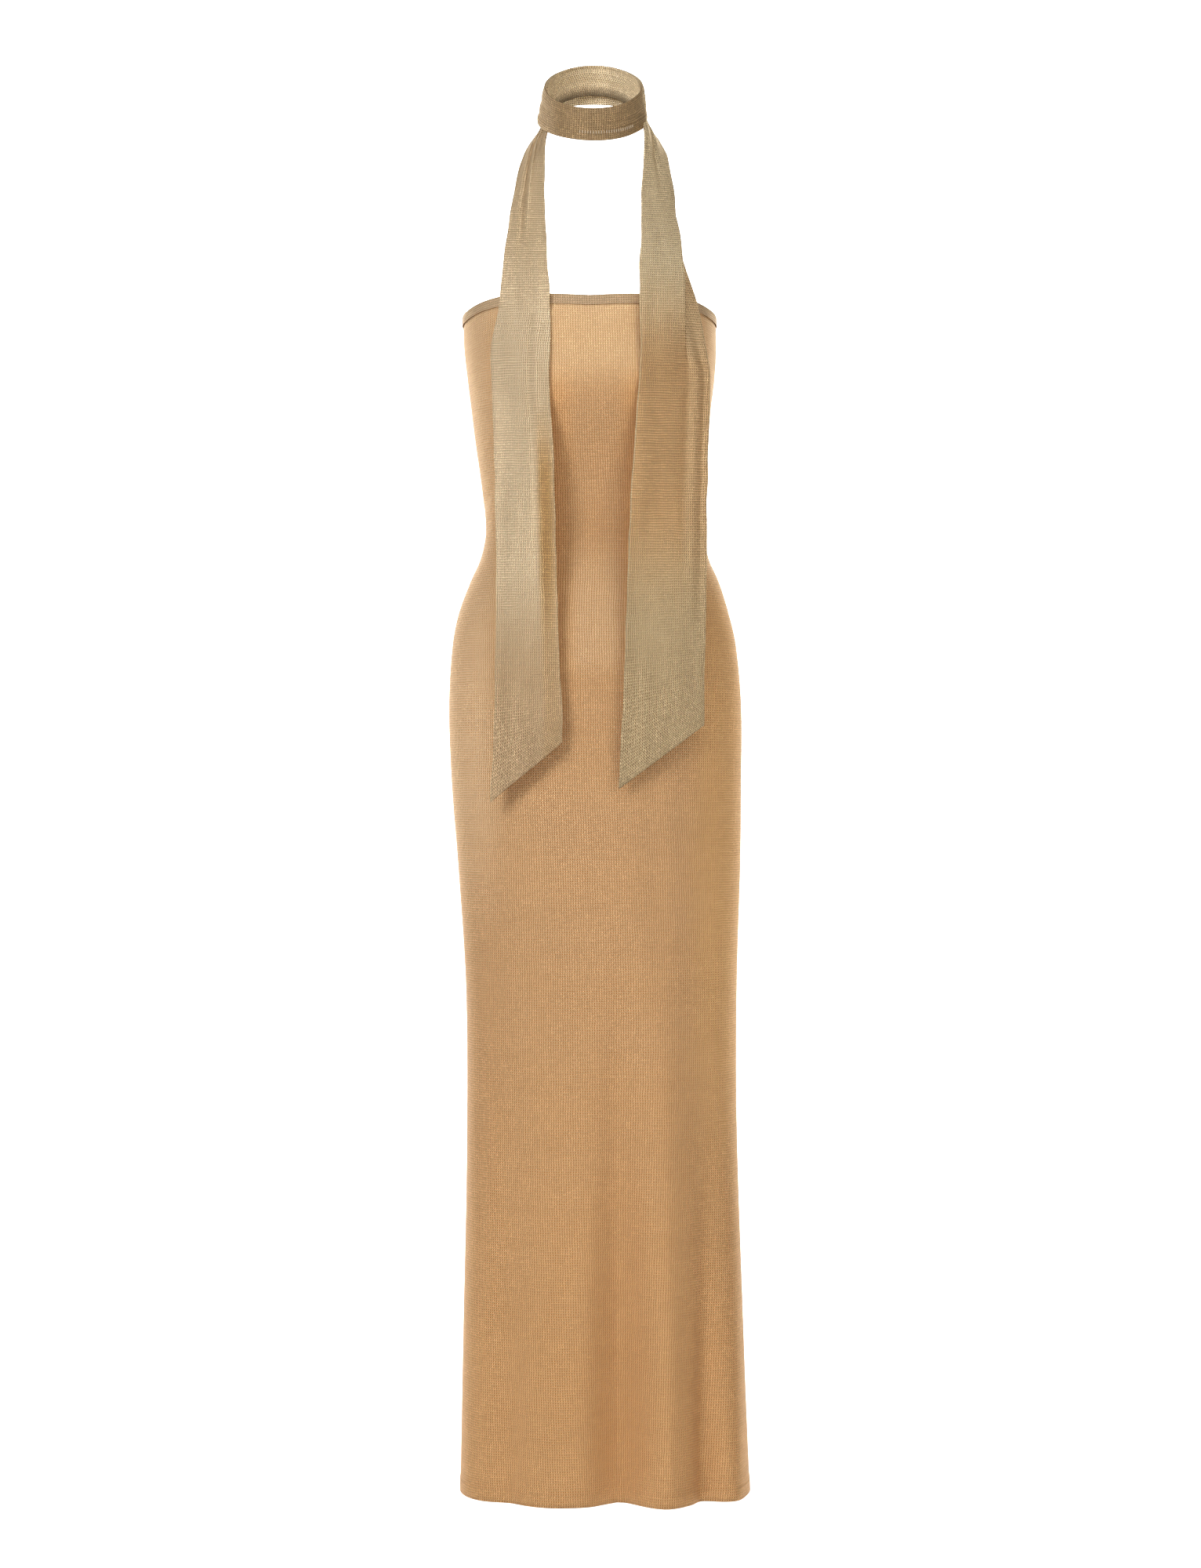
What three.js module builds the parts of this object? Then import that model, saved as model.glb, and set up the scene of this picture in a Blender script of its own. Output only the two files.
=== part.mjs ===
import * as THREE from 'three';

// A strapless column dress of fine metallic knit, with a matching scarf wound once round the neck
// and left to hang down the front in two tails. Both are empty and keep the form that they have
// when they are worn.
// Millimetres, +Z up. The front faces -Y, and +X is on the right when the dress is seen from the
// front. The origin is the middle of the dress's top opening, at the height of its top edge.

// Cloth and seams
const SEAM_GAP = 0.3;
const DRESS_WALL = 2;
const SCARF_WALL = 2;

// Top edge and hem of the dress
const BINDING_HEIGHT = 10.5;
const BINDING_RISE = 0.5;
const HEM_LEVEL = -1308;
const HEM_TURN = 15;
const HEM_RISE = 0.6;
const EDGE_SHAPE_FADES_AT = -120;

// Mesh of the dress panels
const PANEL_COLUMNS = 26;
const BUST_ROWS = { from: -24, to: -150, step: 18 };
const WAIST_ROWS = { from: -175, to: -400, step: 25 };
const SKIRT_ROWS = { from: -460, to: -1240, step: 78 };
const FOLD_FREE_SHARE = 0.05;

// Scarf round the neck. The outer stretches lie over the inner ones, a wall and a gap apart.
const NECK_MIDDLE = -1;
const NECK_HALF_WIDTH = 57.5;
const NECK_HALF_DEPTH = 64;
const LAYER_STEP = SCARF_WALL + 0.5;
const FRONT_BAND = { bottom: 179, top: 216 };
const BACK_BAND = { bottom: 247, top: 290 };
const INNER_BACK_IS_HIGHER_BY = 9;
const LOWER_EDGE_FLARE = 4;
const MOST_PLEAT_RISE = 0.9;
const ROOT_ANGLE = 12;
const FRONT_BAND_RIGHT_END = -8;
const FRONT_BAND_LEFT_END = -188;
const END_GAP_DEGREES = 0.3;
const ROOT_GAP_DEGREES = 0.5;

// Scarf tails: the shares of a tail's width at which it has points, and the lines per section
const TAIL_SHARES = [0, 0.1, 0.2, 0.35, 0.48, 0.6, 0.66, 0.75, 0.87, 1];
const LINES_PER_TAIL_SECTION = 2;
const TAIL_CLEARANCE = 2;
const TAIL_RESTS_BELOW = 16;
const TAIL_CROWN = 1.5;
const INNER_STRIP_SHARE = 0.3;

const CLOTHS = {
  dress: { color: 0xc39a6e, roughness: 0.6, metalness: 0.25 },
  binding: { color: 0xb79b79, roughness: 0.6, metalness: 0.3 },
  scarf: { color: 0xb0946c, roughness: 0.6, metalness: 0.3 },
};

// The dress's form, a row for each level: how far it reaches to the left and right in X, how deep
// it is in front and behind the side seams, and how square its section is (2 is an ellipse).
const DRESS_FORM = [
  { height: 6, left: -146, right: 135, front: 106, back: 96, square: 2.6 },
  { height: -35, left: -145, right: 136, front: 118, back: 96, square: 2.6 },
  { height: -75, left: -141, right: 134, front: 123, back: 95, square: 2.5 },
  { height: -110, left: -137, right: 130, front: 119, back: 90, square: 2.4 },
  { height: -150, left: -132, right: 127, front: 107, back: 82, square: 2.3 },
  { height: -200, left: -125, right: 124, front: 94, back: 75, square: 2.2 },
  { height: -245, left: -121, right: 122, front: 88, back: 73, square: 2.2 },
  { height: -275, left: -127, right: 128, front: 90, back: 78, square: 2.2 },
  { height: -300, left: -138, right: 139, front: 95, back: 86, square: 2.2 },
  { height: -335, left: -151, right: 150, front: 101, back: 97, square: 2.2 },
  { height: -370, left: -158, right: 158, front: 105, back: 107, square: 2.2 },
  { height: -438, left: -162, right: 164, front: 107, back: 115, square: 2.2 },
  { height: -525, left: -159, right: 164, front: 107, back: 116, square: 2.2 },
  { height: -613, left: -152, right: 163, front: 106, back: 113, square: 2.3 },
  { height: -753, left: -143, right: 159, front: 105, back: 110, square: 2.4 },
  { height: -928, left: -142, right: 159, front: 106, back: 110, square: 2.5 },
  { height: -1138, left: -146, right: 166, front: 108, back: 112, square: 2.7 },
  { height: HEM_LEVEL, left: -149, right: 173, front: 110, back: 114, square: 2.8 },
];

// How far the top edge rises above its level, from the middle of a panel (0) to its side seam (1).
const TOP_EDGE = {
  front: [
    { across: 0, rise: 3 },
    { across: 0.35, rise: 5 },
    { across: 0.65, rise: 4.5 },
    { across: 0.85, rise: 0 },
    { across: 1, rise: -7 },
  ],
  back: [
    { across: 0, rise: -10 },
    { across: 0.5, rise: -9 },
    { across: 1, rise: -7 },
  ],
};

// Folds that open down the skirt: place in X, rise at the hem (a valley's is negative), half width
// and the height where the fold starts.
const SKIRT_FOLDS = {
  front: [
    { place: -96, rise: -14, width: 17, start: -780 },
    { place: -42, rise: 4, width: 22, start: -850 },
    { place: 28, rise: -21, width: 22, start: -720 },
    { place: 76, rise: 10, width: 19, start: -740 },
    { place: 124, rise: -14, width: 15, start: -800 },
    { place: 152, rise: 6, width: 11, start: -820 },
  ],
  back: [
    { place: -112, rise: 7, width: 16, start: -830 },
    { place: -66, rise: -16, width: 20, start: -740 },
    { place: -8, rise: 9, width: 24, start: -800 },
    { place: 48, rise: -19, width: 22, start: -700 },
    { place: 98, rise: 9, width: 18, start: -760 },
    { place: 138, rise: -9, width: 13, start: -840 },
  ],
};

// Soft pleats along the front of the neck: place up the band (0 is its lower edge), rise and width.
const NECK_PLEATS = [
  { place: 0.2, rise: 1, width: 0.09 },
  { place: 0.47, rise: 0.6, width: 0.07 },
  { place: 0.72, rise: 0.9, width: 0.08 },
];

// The tails, a row for each section from the neck to the cut end. The inner edge is the one beside
// the middle of the chest. Depth is the distance in front of the side seams. In a pleated section
// the cloth goes out to the fold, back under to the tuck and out again to the end, all as shares
// of the section's width, and each layer lies a wall behind the one before. The turn is how far
// the strip along the inner edge lies behind the rest.
const FLAT = { fold: 0.6, tuck: 0.75, end: 1, pleat: 0, turn: 0 };
const LEFT_TAIL = [
  { innerX: -55, innerDepth: 2, innerHeight: 244, outerX: -57, outerDepth: -9, outerHeight: 212, ...FLAT },
  { innerX: -52, innerDepth: 14, innerHeight: 228, outerX: -59, outerDepth: -4, outerHeight: 205, ...FLAT },
  { innerX: -50, innerDepth: 24, innerHeight: 208, outerX: -65, outerDepth: 0, outerHeight: 197, ...FLAT },
  { innerX: -54, innerDepth: 38, innerHeight: 186, outerX: -73, outerDepth: 5, outerHeight: 185, ...FLAT },
  { innerX: -55, innerDepth: 56, innerHeight: 164, outerX: -79, outerDepth: 19, outerHeight: 169, ...FLAT },
  { innerX: -54, innerDepth: 78, innerHeight: 124, outerX: -88, outerDepth: 46, outerHeight: 129, ...FLAT },
  { innerX: -52, innerDepth: 98, innerHeight: 72, outerX: -95, outerDepth: 73, outerHeight: 76, ...FLAT },
  { innerX: -49, innerDepth: 110, innerHeight: 24, outerX: -101, outerDepth: 91, outerHeight: 26, ...FLAT },
  { innerX: -47, innerDepth: 114, innerHeight: -12, outerX: -104, outerDepth: 93, outerHeight: -10, ...FLAT },
  { innerX: -47, innerDepth: 114, innerHeight: -54, outerX: -111, outerDepth: 90, outerHeight: -51, ...FLAT },
  { innerX: -48, innerDepth: 120, innerHeight: -88, outerX: -111, outerDepth: 92, outerHeight: -86, ...FLAT },
  { innerX: -45, innerDepth: 122, innerHeight: -140, outerX: -109, outerDepth: 94, outerHeight: -138, ...FLAT,
    turn: 1 },
  { innerX: -42, innerDepth: 122, innerHeight: -226, outerX: -107, outerDepth: 95, outerHeight: -224, ...FLAT,
    turn: 5 },
  { innerX: -40, innerDepth: 121, innerHeight: -310, outerX: -106, outerDepth: 97, outerHeight: -309, ...FLAT,
    turn: 6 },
  { innerX: -37, innerDepth: 121, innerHeight: -397, outerX: -107, outerDepth: 100, outerHeight: -396, ...FLAT,
    turn: 4 },
  { innerX: -34, innerDepth: 121, innerHeight: -447, outerX: -108, outerDepth: 103, outerHeight: -460, ...FLAT,
    turn: 2 },
  { innerX: -34, innerDepth: 121, innerHeight: -481, outerX: -112, outerDepth: 107, outerHeight: -546, ...FLAT },
];
const RIGHT_TAIL = [
  { innerX: 57, innerDepth: 2, innerHeight: 247, outerX: 59, outerDepth: -9, outerHeight: 212, ...FLAT },
  { innerX: 56, innerDepth: 12, innerHeight: 231, outerX: 63, outerDepth: -5, outerHeight: 205, ...FLAT },
  { innerX: 56, innerDepth: 22, innerHeight: 213, outerX: 69, outerDepth: -1, outerHeight: 197, ...FLAT },
  { innerX: 55, innerDepth: 41, innerHeight: 191, outerX: 76, outerDepth: 6, outerHeight: 184, ...FLAT },
  { innerX: 54, innerDepth: 58, innerHeight: 164, outerX: 82, outerDepth: 18, outerHeight: 168, ...FLAT },
  { innerX: 52, innerDepth: 79, innerHeight: 124, outerX: 88, outerDepth: 45, outerHeight: 129, ...FLAT,
    fold: 0.85, tuck: 0.78, end: 0.98, pleat: 0.6 },
  { innerX: 51, innerDepth: 99, innerHeight: 72, outerX: 94, outerDepth: 74, outerHeight: 74, ...FLAT,
    fold: 1, tuck: 0.7, end: 0.95, pleat: 1 },
  { innerX: 49, innerDepth: 109, innerHeight: 34, outerX: 99, outerDepth: 88, outerHeight: 36, ...FLAT,
    fold: 0.96, tuck: 0.68, end: 1, pleat: 1 },
  { innerX: 49, innerDepth: 109, innerHeight: -1, outerX: 111, outerDepth: 88, outerHeight: 1, ...FLAT,
    fold: 0.8, tuck: 0.64, end: 1, pleat: 1 },
  { innerX: 49, innerDepth: 114, innerHeight: -28, outerX: 117, outerDepth: 90, outerHeight: -26, ...FLAT,
    fold: 0.73, tuck: 0.64, end: 1, pleat: 1 },
  { innerX: 50, innerDepth: 118, innerHeight: -52, outerX: 122, outerDepth: 90, outerHeight: -50, ...FLAT,
    fold: 0.68, tuck: 0.67, end: 1, pleat: 0.7 },
  { innerX: 49, innerDepth: 121, innerHeight: -80, outerX: 126, outerDepth: 88, outerHeight: -78, ...FLAT },
  { innerX: 46, innerDepth: 122, innerHeight: -127, outerX: 126, outerDepth: 87, outerHeight: -124, ...FLAT },
  { innerX: 41, innerDepth: 122, innerHeight: -185, outerX: 124, outerDepth: 88, outerHeight: -182, ...FLAT },
  { innerX: 38, innerDepth: 121, innerHeight: -250, outerX: 123, outerDepth: 90, outerHeight: -248, ...FLAT },
  { innerX: 35, innerDepth: 120, innerHeight: -330, outerX: 122, outerDepth: 93, outerHeight: -326, ...FLAT },
  { innerX: 32, innerDepth: 120, innerHeight: -420, outerX: 120, outerDepth: 97, outerHeight: -405, ...FLAT },
  { innerX: 26, innerDepth: 119, innerHeight: -532, outerX: 120, outerDepth: 99, outerHeight: -462, ...FLAT },
];

const clamp01 = (value) => Math.min(1, Math.max(0, value));
const easeIn = (value) => clamp01(value) ** 2 * (3 - 2 * clamp01(value));
const mix = (a, b, share) => a + (b - a) * share;
const bump = (distance, width) => Math.exp(-((distance / width) ** 2));
const radians = THREE.MathUtils.degToRad;

// The value of a table's column at a key, on a smooth curve through its rows.
function smoothValue(rows, key, at, column) {
  const ascending = rows[rows.length - 1][key] > rows[0][key];
  const ordered = ascending ? rows : [...rows].reverse();
  const last = ordered.length - 1;
  const found = ordered.findIndex((row) => row[key] > at);
  const lower = found < 0 ? last - 1 : Math.max(0, found - 1);
  const slopeAt = (index) => {
    const before = ordered[Math.max(0, index - 1)];
    const after = ordered[Math.min(last, index + 1)];
    return (after[column] - before[column]) / (after[key] - before[key]);
  };
  const [start, end] = [ordered[lower], ordered[lower + 1]];
  const span = end[key] - start[key];
  const t = clamp01((at - start[key]) / span);
  return start[column] * (1 + 2 * t) * (1 - t) ** 2 + slopeAt(lower) * span * t * (1 - t) ** 2
    + end[column] * t * t * (3 - 2 * t) + slopeAt(lower + 1) * span * t * t * (t - 1);
}

function dressForm(height) {
  const read = (column) => smoothValue(DRESS_FORM, 'height', height, column);
  const [left, right] = [read('left'), read('right')];
  return {
    middle: (left + right) / 2,
    halfWidth: (right - left) / 2,
    front: read('front'),
    back: read('back'),
    square: read('square'),
  };
}

function foldRise(side, x, height) {
  return SKIRT_FOLDS[side].reduce((sum, fold) => {
    const grown = clamp01((fold.start - height) / (fold.start - HEM_LEVEL));
    return sum + fold.rise * grown * bump(x - fold.place, fold.width);
  }, 0);
}

// A point of the dress's outer face, moved out along the section's normal. The share runs from the
// left side seam (0) to the right one (1), and the two panels stop half a seam gap short of it.
function dressPoint(side, share, height, out) {
  const form = dressForm(height);
  const depth = form[side];
  const turn = Math.PI * share;
  const across = -Math.sign(Math.cos(turn)) * Math.abs(Math.cos(turn)) ** (2 / form.square);
  const deep = Math.sin(turn) ** (2 / form.square);
  const normal = new THREE.Vector2(
    Math.sign(across) * Math.abs(across) ** (form.square - 1) / form.halfWidth,
    deep ** (form.square - 1) / depth,
  ).normalize();
  if (share === 0 || share === 1) {
    normal.set(Math.sign(across), 0);
  }
  const x = form.middle + across * form.halfWidth;
  const clearOfSeam = easeIn(Math.min(share, 1 - share) / FOLD_FREE_SHARE);
  const move = out + foldRise(side, x, height) * clearOfSeam;
  const towards = side === 'front' ? -1 : 1;
  const edge = smoothValue(TOP_EDGE[side], 'across', Math.abs(across), 'rise');
  const edgeStays = easeIn(1 - height / EDGE_SHAPE_FADES_AT);
  return new THREE.Vector3(
    x + normal.x * move,
    towards * (SEAM_GAP / 2 + depth * (share === 0 || share === 1 ? 0 : deep) + normal.y * move),
    height + edge * edgeStays,
  );
}

// How deep the front of the dress is at a place, for what rests on it.
function dressFrontDepth(x, height, clearance) {
  const form = dressForm(height);
  const across = Math.abs(x - form.middle) / (form.halfWidth + clearance);
  if (height > TAIL_RESTS_BELOW || across >= 1) {
    return 0;
  }
  return (form.front + clearance) * (1 - across ** form.square) ** (1 / form.square);
}

// A closed wall between two grids of points, one for each face, joined along their four edges.
function wallBetween(outer, inner) {
  const rows = outer.length;
  const columns = outer[0].length;
  const at = (face, row, column) => (face * rows + row) * columns + column;
  const triangles = [];
  const quad = (a, b, c, d) => triangles.push([a, b, c], [a, c, d]);
  for (let row = 0; row + 1 < rows; row += 1) {
    for (let column = 0; column + 1 < columns; column += 1) {
      quad(at(0, row, column), at(0, row + 1, column), at(0, row + 1, column + 1), at(0, row, column + 1));
      quad(at(1, row, column), at(1, row, column + 1), at(1, row + 1, column + 1), at(1, row + 1, column));
    }
    const [near, far] = [0, columns - 1];
    quad(at(1, row, near), at(1, row + 1, near), at(0, row + 1, near), at(0, row, near));
    quad(at(0, row, far), at(0, row + 1, far), at(1, row + 1, far), at(1, row, far));
  }
  for (let column = 0; column + 1 < columns; column += 1) {
    const [top, bottom] = [0, rows - 1];
    quad(at(0, top, column), at(0, top, column + 1), at(1, top, column + 1), at(1, top, column));
    quad(at(1, bottom, column), at(1, bottom, column + 1), at(0, bottom, column + 1), at(0, bottom, column));
  }
  const points = [...outer.flat(), ...inner.flat()];
  const volume = triangles.reduce(
    (sum, [a, b, c]) => sum + points[a].dot(new THREE.Vector3().crossVectors(points[b], points[c])),
    0,
  );
  const facingOut = volume < 0 ? triangles.map(([a, b, c]) => [a, c, b]) : triangles;
  const geometry = new THREE.BufferGeometry().setFromPoints(points);
  geometry.setIndex(facingOut.flat());
  geometry.computeVertexNormals();
  return geometry;
}

// A wall of even thickness about a grid of points on its middle surface.
function wallAbout(middle, thickness) {
  const rows = middle.length;
  const columns = middle[0].length;
  const normalAt = (row, column) => {
    const along = new THREE.Vector3().subVectors(
      middle[Math.min(row + 1, rows - 1)][column],
      middle[Math.max(row - 1, 0)][column],
    );
    const across = new THREE.Vector3().subVectors(
      middle[row][Math.min(column + 1, columns - 1)],
      middle[row][Math.max(column - 1, 0)],
    );
    return along.cross(across).normalize();
  };
  const faceAt = (distance) => middle.map((line, row) => line.map(
    (point, column) => point.clone().addScaledVector(normalAt(row, column), distance),
  ));
  return wallBetween(faceAt(thickness / 2), faceAt(-thickness / 2));
}

function clothMesh(name, cloth, geometry) {
  const mesh = new THREE.Mesh(geometry, new THREE.MeshStandardMaterial(CLOTHS[cloth]));
  mesh.name = name;
  return mesh;
}

const evenHeights = ({ from, to, step }) => Array.from(
  { length: Math.round((from - to) / step) + 1 },
  (_, index) => from - index * step,
);

// One strip of the dress between its side seams, through the given levels.
function dressStrip(side, levels, wall) {
  const faceAt = (inwards) => levels.map(({ height, rise }) => Array.from(
    { length: PANEL_COLUMNS + 1 },
    (_, column) => dressPoint(side, column / PANEL_COLUMNS, height, rise - inwards),
  ));
  return wallBetween(faceAt(0), faceAt(wall));
}

function dressPanel(side) {
  const heights = [
    -BINDING_HEIGHT - SEAM_GAP,
    ...evenHeights(BUST_ROWS),
    ...evenHeights(WAIST_ROWS),
    ...evenHeights(SKIRT_ROWS),
  ];
  const levels = [
    ...heights.map((height) => ({ height, rise: 0 })),
    { height: HEM_LEVEL + HEM_TURN + HEM_RISE, rise: 0 },
    { height: HEM_LEVEL + HEM_TURN, rise: HEM_RISE },
    { height: HEM_LEVEL, rise: HEM_RISE },
  ];
  return clothMesh(`dress_${side}`, 'dress', dressStrip(side, levels, DRESS_WALL));
}

function necklineBinding(side) {
  const levels = [
    { height: 0, rise: BINDING_RISE },
    { height: -BINDING_HEIGHT, rise: BINDING_RISE },
  ];
  const wall = DRESS_WALL + BINDING_RISE;
  return clothMesh(`neckline_binding_${side}`, 'binding', dressStrip(side, levels, wall));
}

// A point of the scarf round the neck. The angle is 0 on the right, 90 behind and -90 in front, and
// the layer is 0 for the outer stretches and 1 for the inner ones.
function neckPoint(angle, share, layer, lift, out) {
  const turn = radians(angle);
  const shrink = LAYER_STEP * layer;
  const flare = LOWER_EDGE_FLARE * (1 - share) ** 2 * (1 - layer);
  const x = NECK_MIDDLE + (NECK_HALF_WIDTH - shrink + flare + out) * Math.cos(turn);
  const y = (NECK_HALF_DEPTH - shrink + flare + out) * Math.sin(turn);
  const towardsBack = (1 + Math.sin(turn)) / 2;
  const bottom = mix(FRONT_BAND.bottom, BACK_BAND.bottom, towardsBack) + lift;
  const top = mix(FRONT_BAND.top, BACK_BAND.top, towardsBack);
  return new THREE.Vector3(x, y, mix(bottom, top, share));
}

function neckStretch({ name, from, to, columns, rows, layerAt, liftAt, pleatsAt }) {
  const faceAt = (distance, pleated) => Array.from({ length: rows + 1 }, (_, row) => Array.from(
    { length: columns + 1 },
    (__, column) => {
      const share = 1 - row / rows;
      const along = column / columns;
      const angle = mix(from, to, along);
      const relief = pleated ? pleatsAt(along, share) : 0;
      return neckPoint(angle, share, layerAt(along), liftAt(angle), distance + relief);
    },
  ));
  return clothMesh(name, 'scarf', wallBetween(faceAt(SCARF_WALL / 2, true), faceAt(-SCARF_WALL / 2, false)));
}

const noPleats = () => 0;
const noLift = () => 0;
const backLift = (angle) => INNER_BACK_IS_HIGHER_BY * Math.max(0, Math.sin(radians(angle))) ** 2;
const frontPleats = (along, share) => MOST_PLEAT_RISE * Math.sin(Math.PI * along) * NECK_PLEATS.reduce(
  (sum, pleat) => sum + pleat.rise * bump(share - pleat.place, pleat.width),
  0,
);

const NECK_STRETCHES = [
  {
    name: 'scarf_neck_front',
    from: FRONT_BAND_RIGHT_END,
    to: FRONT_BAND_LEFT_END,
    columns: 30,
    rows: 10,
    layerAt: (along) => 1 - easeIn(along / 0.8),
    liftAt: noLift,
    pleatsAt: frontPleats,
  },
  {
    name: 'scarf_neck_back_inner',
    from: FRONT_BAND_RIGHT_END + END_GAP_DEGREES,
    to: 180 - ROOT_ANGLE,
    columns: 26,
    rows: 3,
    layerAt: () => 1,
    liftAt: backLift,
    pleatsAt: noPleats,
  },
  {
    name: 'scarf_neck_back_outer',
    from: ROOT_ANGLE,
    to: FRONT_BAND_LEFT_END + 360 - END_GAP_DEGREES,
    columns: 24,
    rows: 3,
    layerAt: () => 0,
    liftAt: noLift,
    pleatsAt: noPleats,
  },
];

// Where a share across a tail comes to lie, and how many layers back, once its pleat is folded.
function pleatedPlace(share, section) {
  const stops = [
    { share: 0, place: 0, layers: 0 },
    { share: FLAT.fold, place: section.fold, layers: 0 },
    { share: FLAT.tuck, place: section.tuck, layers: section.pleat },
    { share: 1, place: section.end, layers: 2 * section.pleat },
  ];
  const next = Math.max(1, stops.findIndex((stop) => stop.share >= share));
  const [start, end] = [stops[next - 1], stops[next]];
  const t = (share - start.share) / (end.share - start.share);
  return { place: mix(start.place, end.place, t), layers: mix(start.layers, end.layers, t) };
}

function tailLine(section) {
  return TAIL_SHARES.map((share) => {
    const { place, layers } = pleatedPlace(share, section);
    const x = mix(section.innerX, section.outerX, place);
    const z = mix(section.innerHeight, section.outerHeight, place);
    const back = layers * LAYER_STEP;
    const pleatDepth = 2 * section.pleat * LAYER_STEP;
    const inwardTurn = section.turn * (1 - easeIn(share / INNER_STRIP_SHARE));
    const crown = TAIL_CROWN * Math.sin(Math.PI * place);
    const hanging = mix(section.innerDepth, section.outerDepth, place) + crown - inwardTurn;
    const clearance = TAIL_CLEARANCE + SCARF_WALL / 2;
    const resting = dressFrontDepth(x, z, clearance) + pleatDepth;
    return new THREE.Vector3(x, -(Math.max(hanging, resting) - back), z);
  });
}

// A tail runs on from the end of a neck stretch, which gives its first line of points.
function scarfTail(name, rootAngle, layer, sections) {
  const numbered = sections.map((section, index) => ({ ...section, index }));
  const rows = (sections.length - 1) * LINES_PER_TAIL_SECTION;
  const lines = Array.from({ length: rows + 1 }, (_, row) => {
    const at = row / LINES_PER_TAIL_SECTION;
    const section = Object.fromEntries(Object.keys(sections[0]).map(
      (column) => [column, smoothValue(numbered, 'index', at, column)],
    ));
    return tailLine(section);
  });
  const rootLine = lines[0].map((_, column) => (
    neckPoint(rootAngle, 1 - TAIL_SHARES[column], layer, 0, 0)
  ));
  return clothMesh(name, 'scarf', wallAbout([rootLine, ...lines], SCARF_WALL));
}

const dress = new THREE.Group();
for (const side of ['front', 'back']) {
  dress.add(dressPanel(side), necklineBinding(side));
}

const scarf = new THREE.Group();
scarf.add(...NECK_STRETCHES.map(neckStretch));
scarf.add(scarfTail('scarf_tail_left', 180 - ROOT_ANGLE + ROOT_GAP_DEGREES, 1, LEFT_TAIL));
scarf.add(scarfTail('scarf_tail_right', ROOT_ANGLE - ROOT_GAP_DEGREES, 0, RIGHT_TAIL));

const scarfDress = new THREE.Group();
scarfDress.add(dress, scarf);

export default scarfDress;
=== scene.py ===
import functools
import math

import bmesh
import bpy
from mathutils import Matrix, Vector, noise


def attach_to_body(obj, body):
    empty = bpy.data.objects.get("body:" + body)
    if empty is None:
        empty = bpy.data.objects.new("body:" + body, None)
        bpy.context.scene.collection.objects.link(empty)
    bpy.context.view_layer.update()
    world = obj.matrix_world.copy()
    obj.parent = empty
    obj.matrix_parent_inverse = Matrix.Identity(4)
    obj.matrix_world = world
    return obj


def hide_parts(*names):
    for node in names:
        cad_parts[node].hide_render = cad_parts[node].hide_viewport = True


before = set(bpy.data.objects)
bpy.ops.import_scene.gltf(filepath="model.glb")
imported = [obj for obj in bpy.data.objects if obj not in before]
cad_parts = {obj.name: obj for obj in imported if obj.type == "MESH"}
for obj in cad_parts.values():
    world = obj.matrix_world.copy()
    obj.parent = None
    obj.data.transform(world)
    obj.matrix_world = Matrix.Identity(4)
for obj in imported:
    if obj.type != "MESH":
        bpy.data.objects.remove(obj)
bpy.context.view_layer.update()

# A strapless column dress of fine metallic knit with its scarf. The forms are worked out in
# millimetres, in the frame of the part: +Z up, the front faces -Y, the top edge lies at height 0.

MM = 0.001

# Cloth
DRESS_WALL = 1.5
SCARF_WALL = 2.2
BINDING_WALL = 0.8
WALE = 2.65
COURSE = 2.65
SCARF_WALE = 2.1
SCARF_COURSE = 2.72
LINING_WALE = 0.9
LINING_COURSE = 0.8

# Columns and rows of each kind of cloth
PANEL_GRID = (104, 260)
BINDING_GRID = (96, 30)
NECK_GRID = (300, 40)
TAIL_GRID = (60, 200)

# Colours as they look on a screen, 0 to 255
DRESS_YARN = (229, 187, 141)
# Painted shade: warmer yarn on the right side, the saturated tone of the shade there
DRESS_RIGHT_SIDE_SHADE_TINT = (255, 205, 146)
# Painted shade: warmer, more saturated yarn towards the hem, the tone of the shade on the lower skirt
DRESS_LOW_SHADE_TINT = (236, 187, 134)
DRESS_YARN_OVER_BRIEF = (242, 204, 160)
# Painted sheen: paler, golden yarn at the sides, where light grazes the cloth
DRESS_SIDE_SHEEN_PAINTED = (255, 218, 174)
# Painted shade: warmer, more orange yarn where the tails' shadows fall on the dress
DRESS_TAIL_SHADOW_TINT = (248, 196, 141)
DRESS_YARN_OVER_FACING = (255, 215, 167)
LINING_THROUGH_KNIT = (172, 108, 56)
LINING_THROUGH_FACING = (198, 144, 96)
LINING = (226, 176, 136)
LINING_HOLE = (196, 142, 102)
LEFT_TAIL_YARN = (252, 225, 187)
LEFT_LOW_YARN = (226, 193, 154)
# Darker where the tail is gathered: partly the denser cloth, partly painted shade of its folds
LEFT_ROOT_YARN_WITH_SHADE = (228, 201, 163)
# Painted shade: darker, browner yarn along the strip that is turned under
TURNED_STRIP_PAINTED_SHADE = (226, 181, 125)
RIGHT_TAIL_YARN = (236, 191, 141)
RIGHT_WING_YARN = (250, 214, 168)
RIGHT_LOW_YARN = (230, 203, 161)
RIGHT_ROOT_YARN = (255, 231, 190)
# Painted shade: what shows through the scarf's open holes
SCARF_HOLE_SHADE = (84, 56, 28)
NECK_FRONT_YARN = (188, 159, 121)
# Painted light: paler yarn on the ring's left, where the key light falls
NECK_LEFT_PAINTED_LIGHT = (240, 208, 168)
NECK_BACK_YARN = (255, 233, 196)
# Painted shade seen through the ring's holes, lighter behind
NECK_HOLE_SHADE = (58, 40, 22)
NECK_BACK_HOLE_SHADE = (120, 92, 58)
# Partly the seam's denser yarn, partly a painted highlight where the rolled edge catches light
SCARF_SEAM_WITH_HIGHLIGHT = (226, 202, 162)
EDGE_YARN = (224, 194, 158)
EDGE_HOLE = (120, 84, 58)
LADDER_THREAD = (250, 240, 222)
LADDER_THREAD_DARK = (216, 196, 166)
HEM_THREAD = (196, 150, 104)
HEM_THREAD_DARK = (164, 118, 76)
SHEEN_TINT = (250, 238, 196)
SHINE_TINT = (255, 228, 178)

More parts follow.
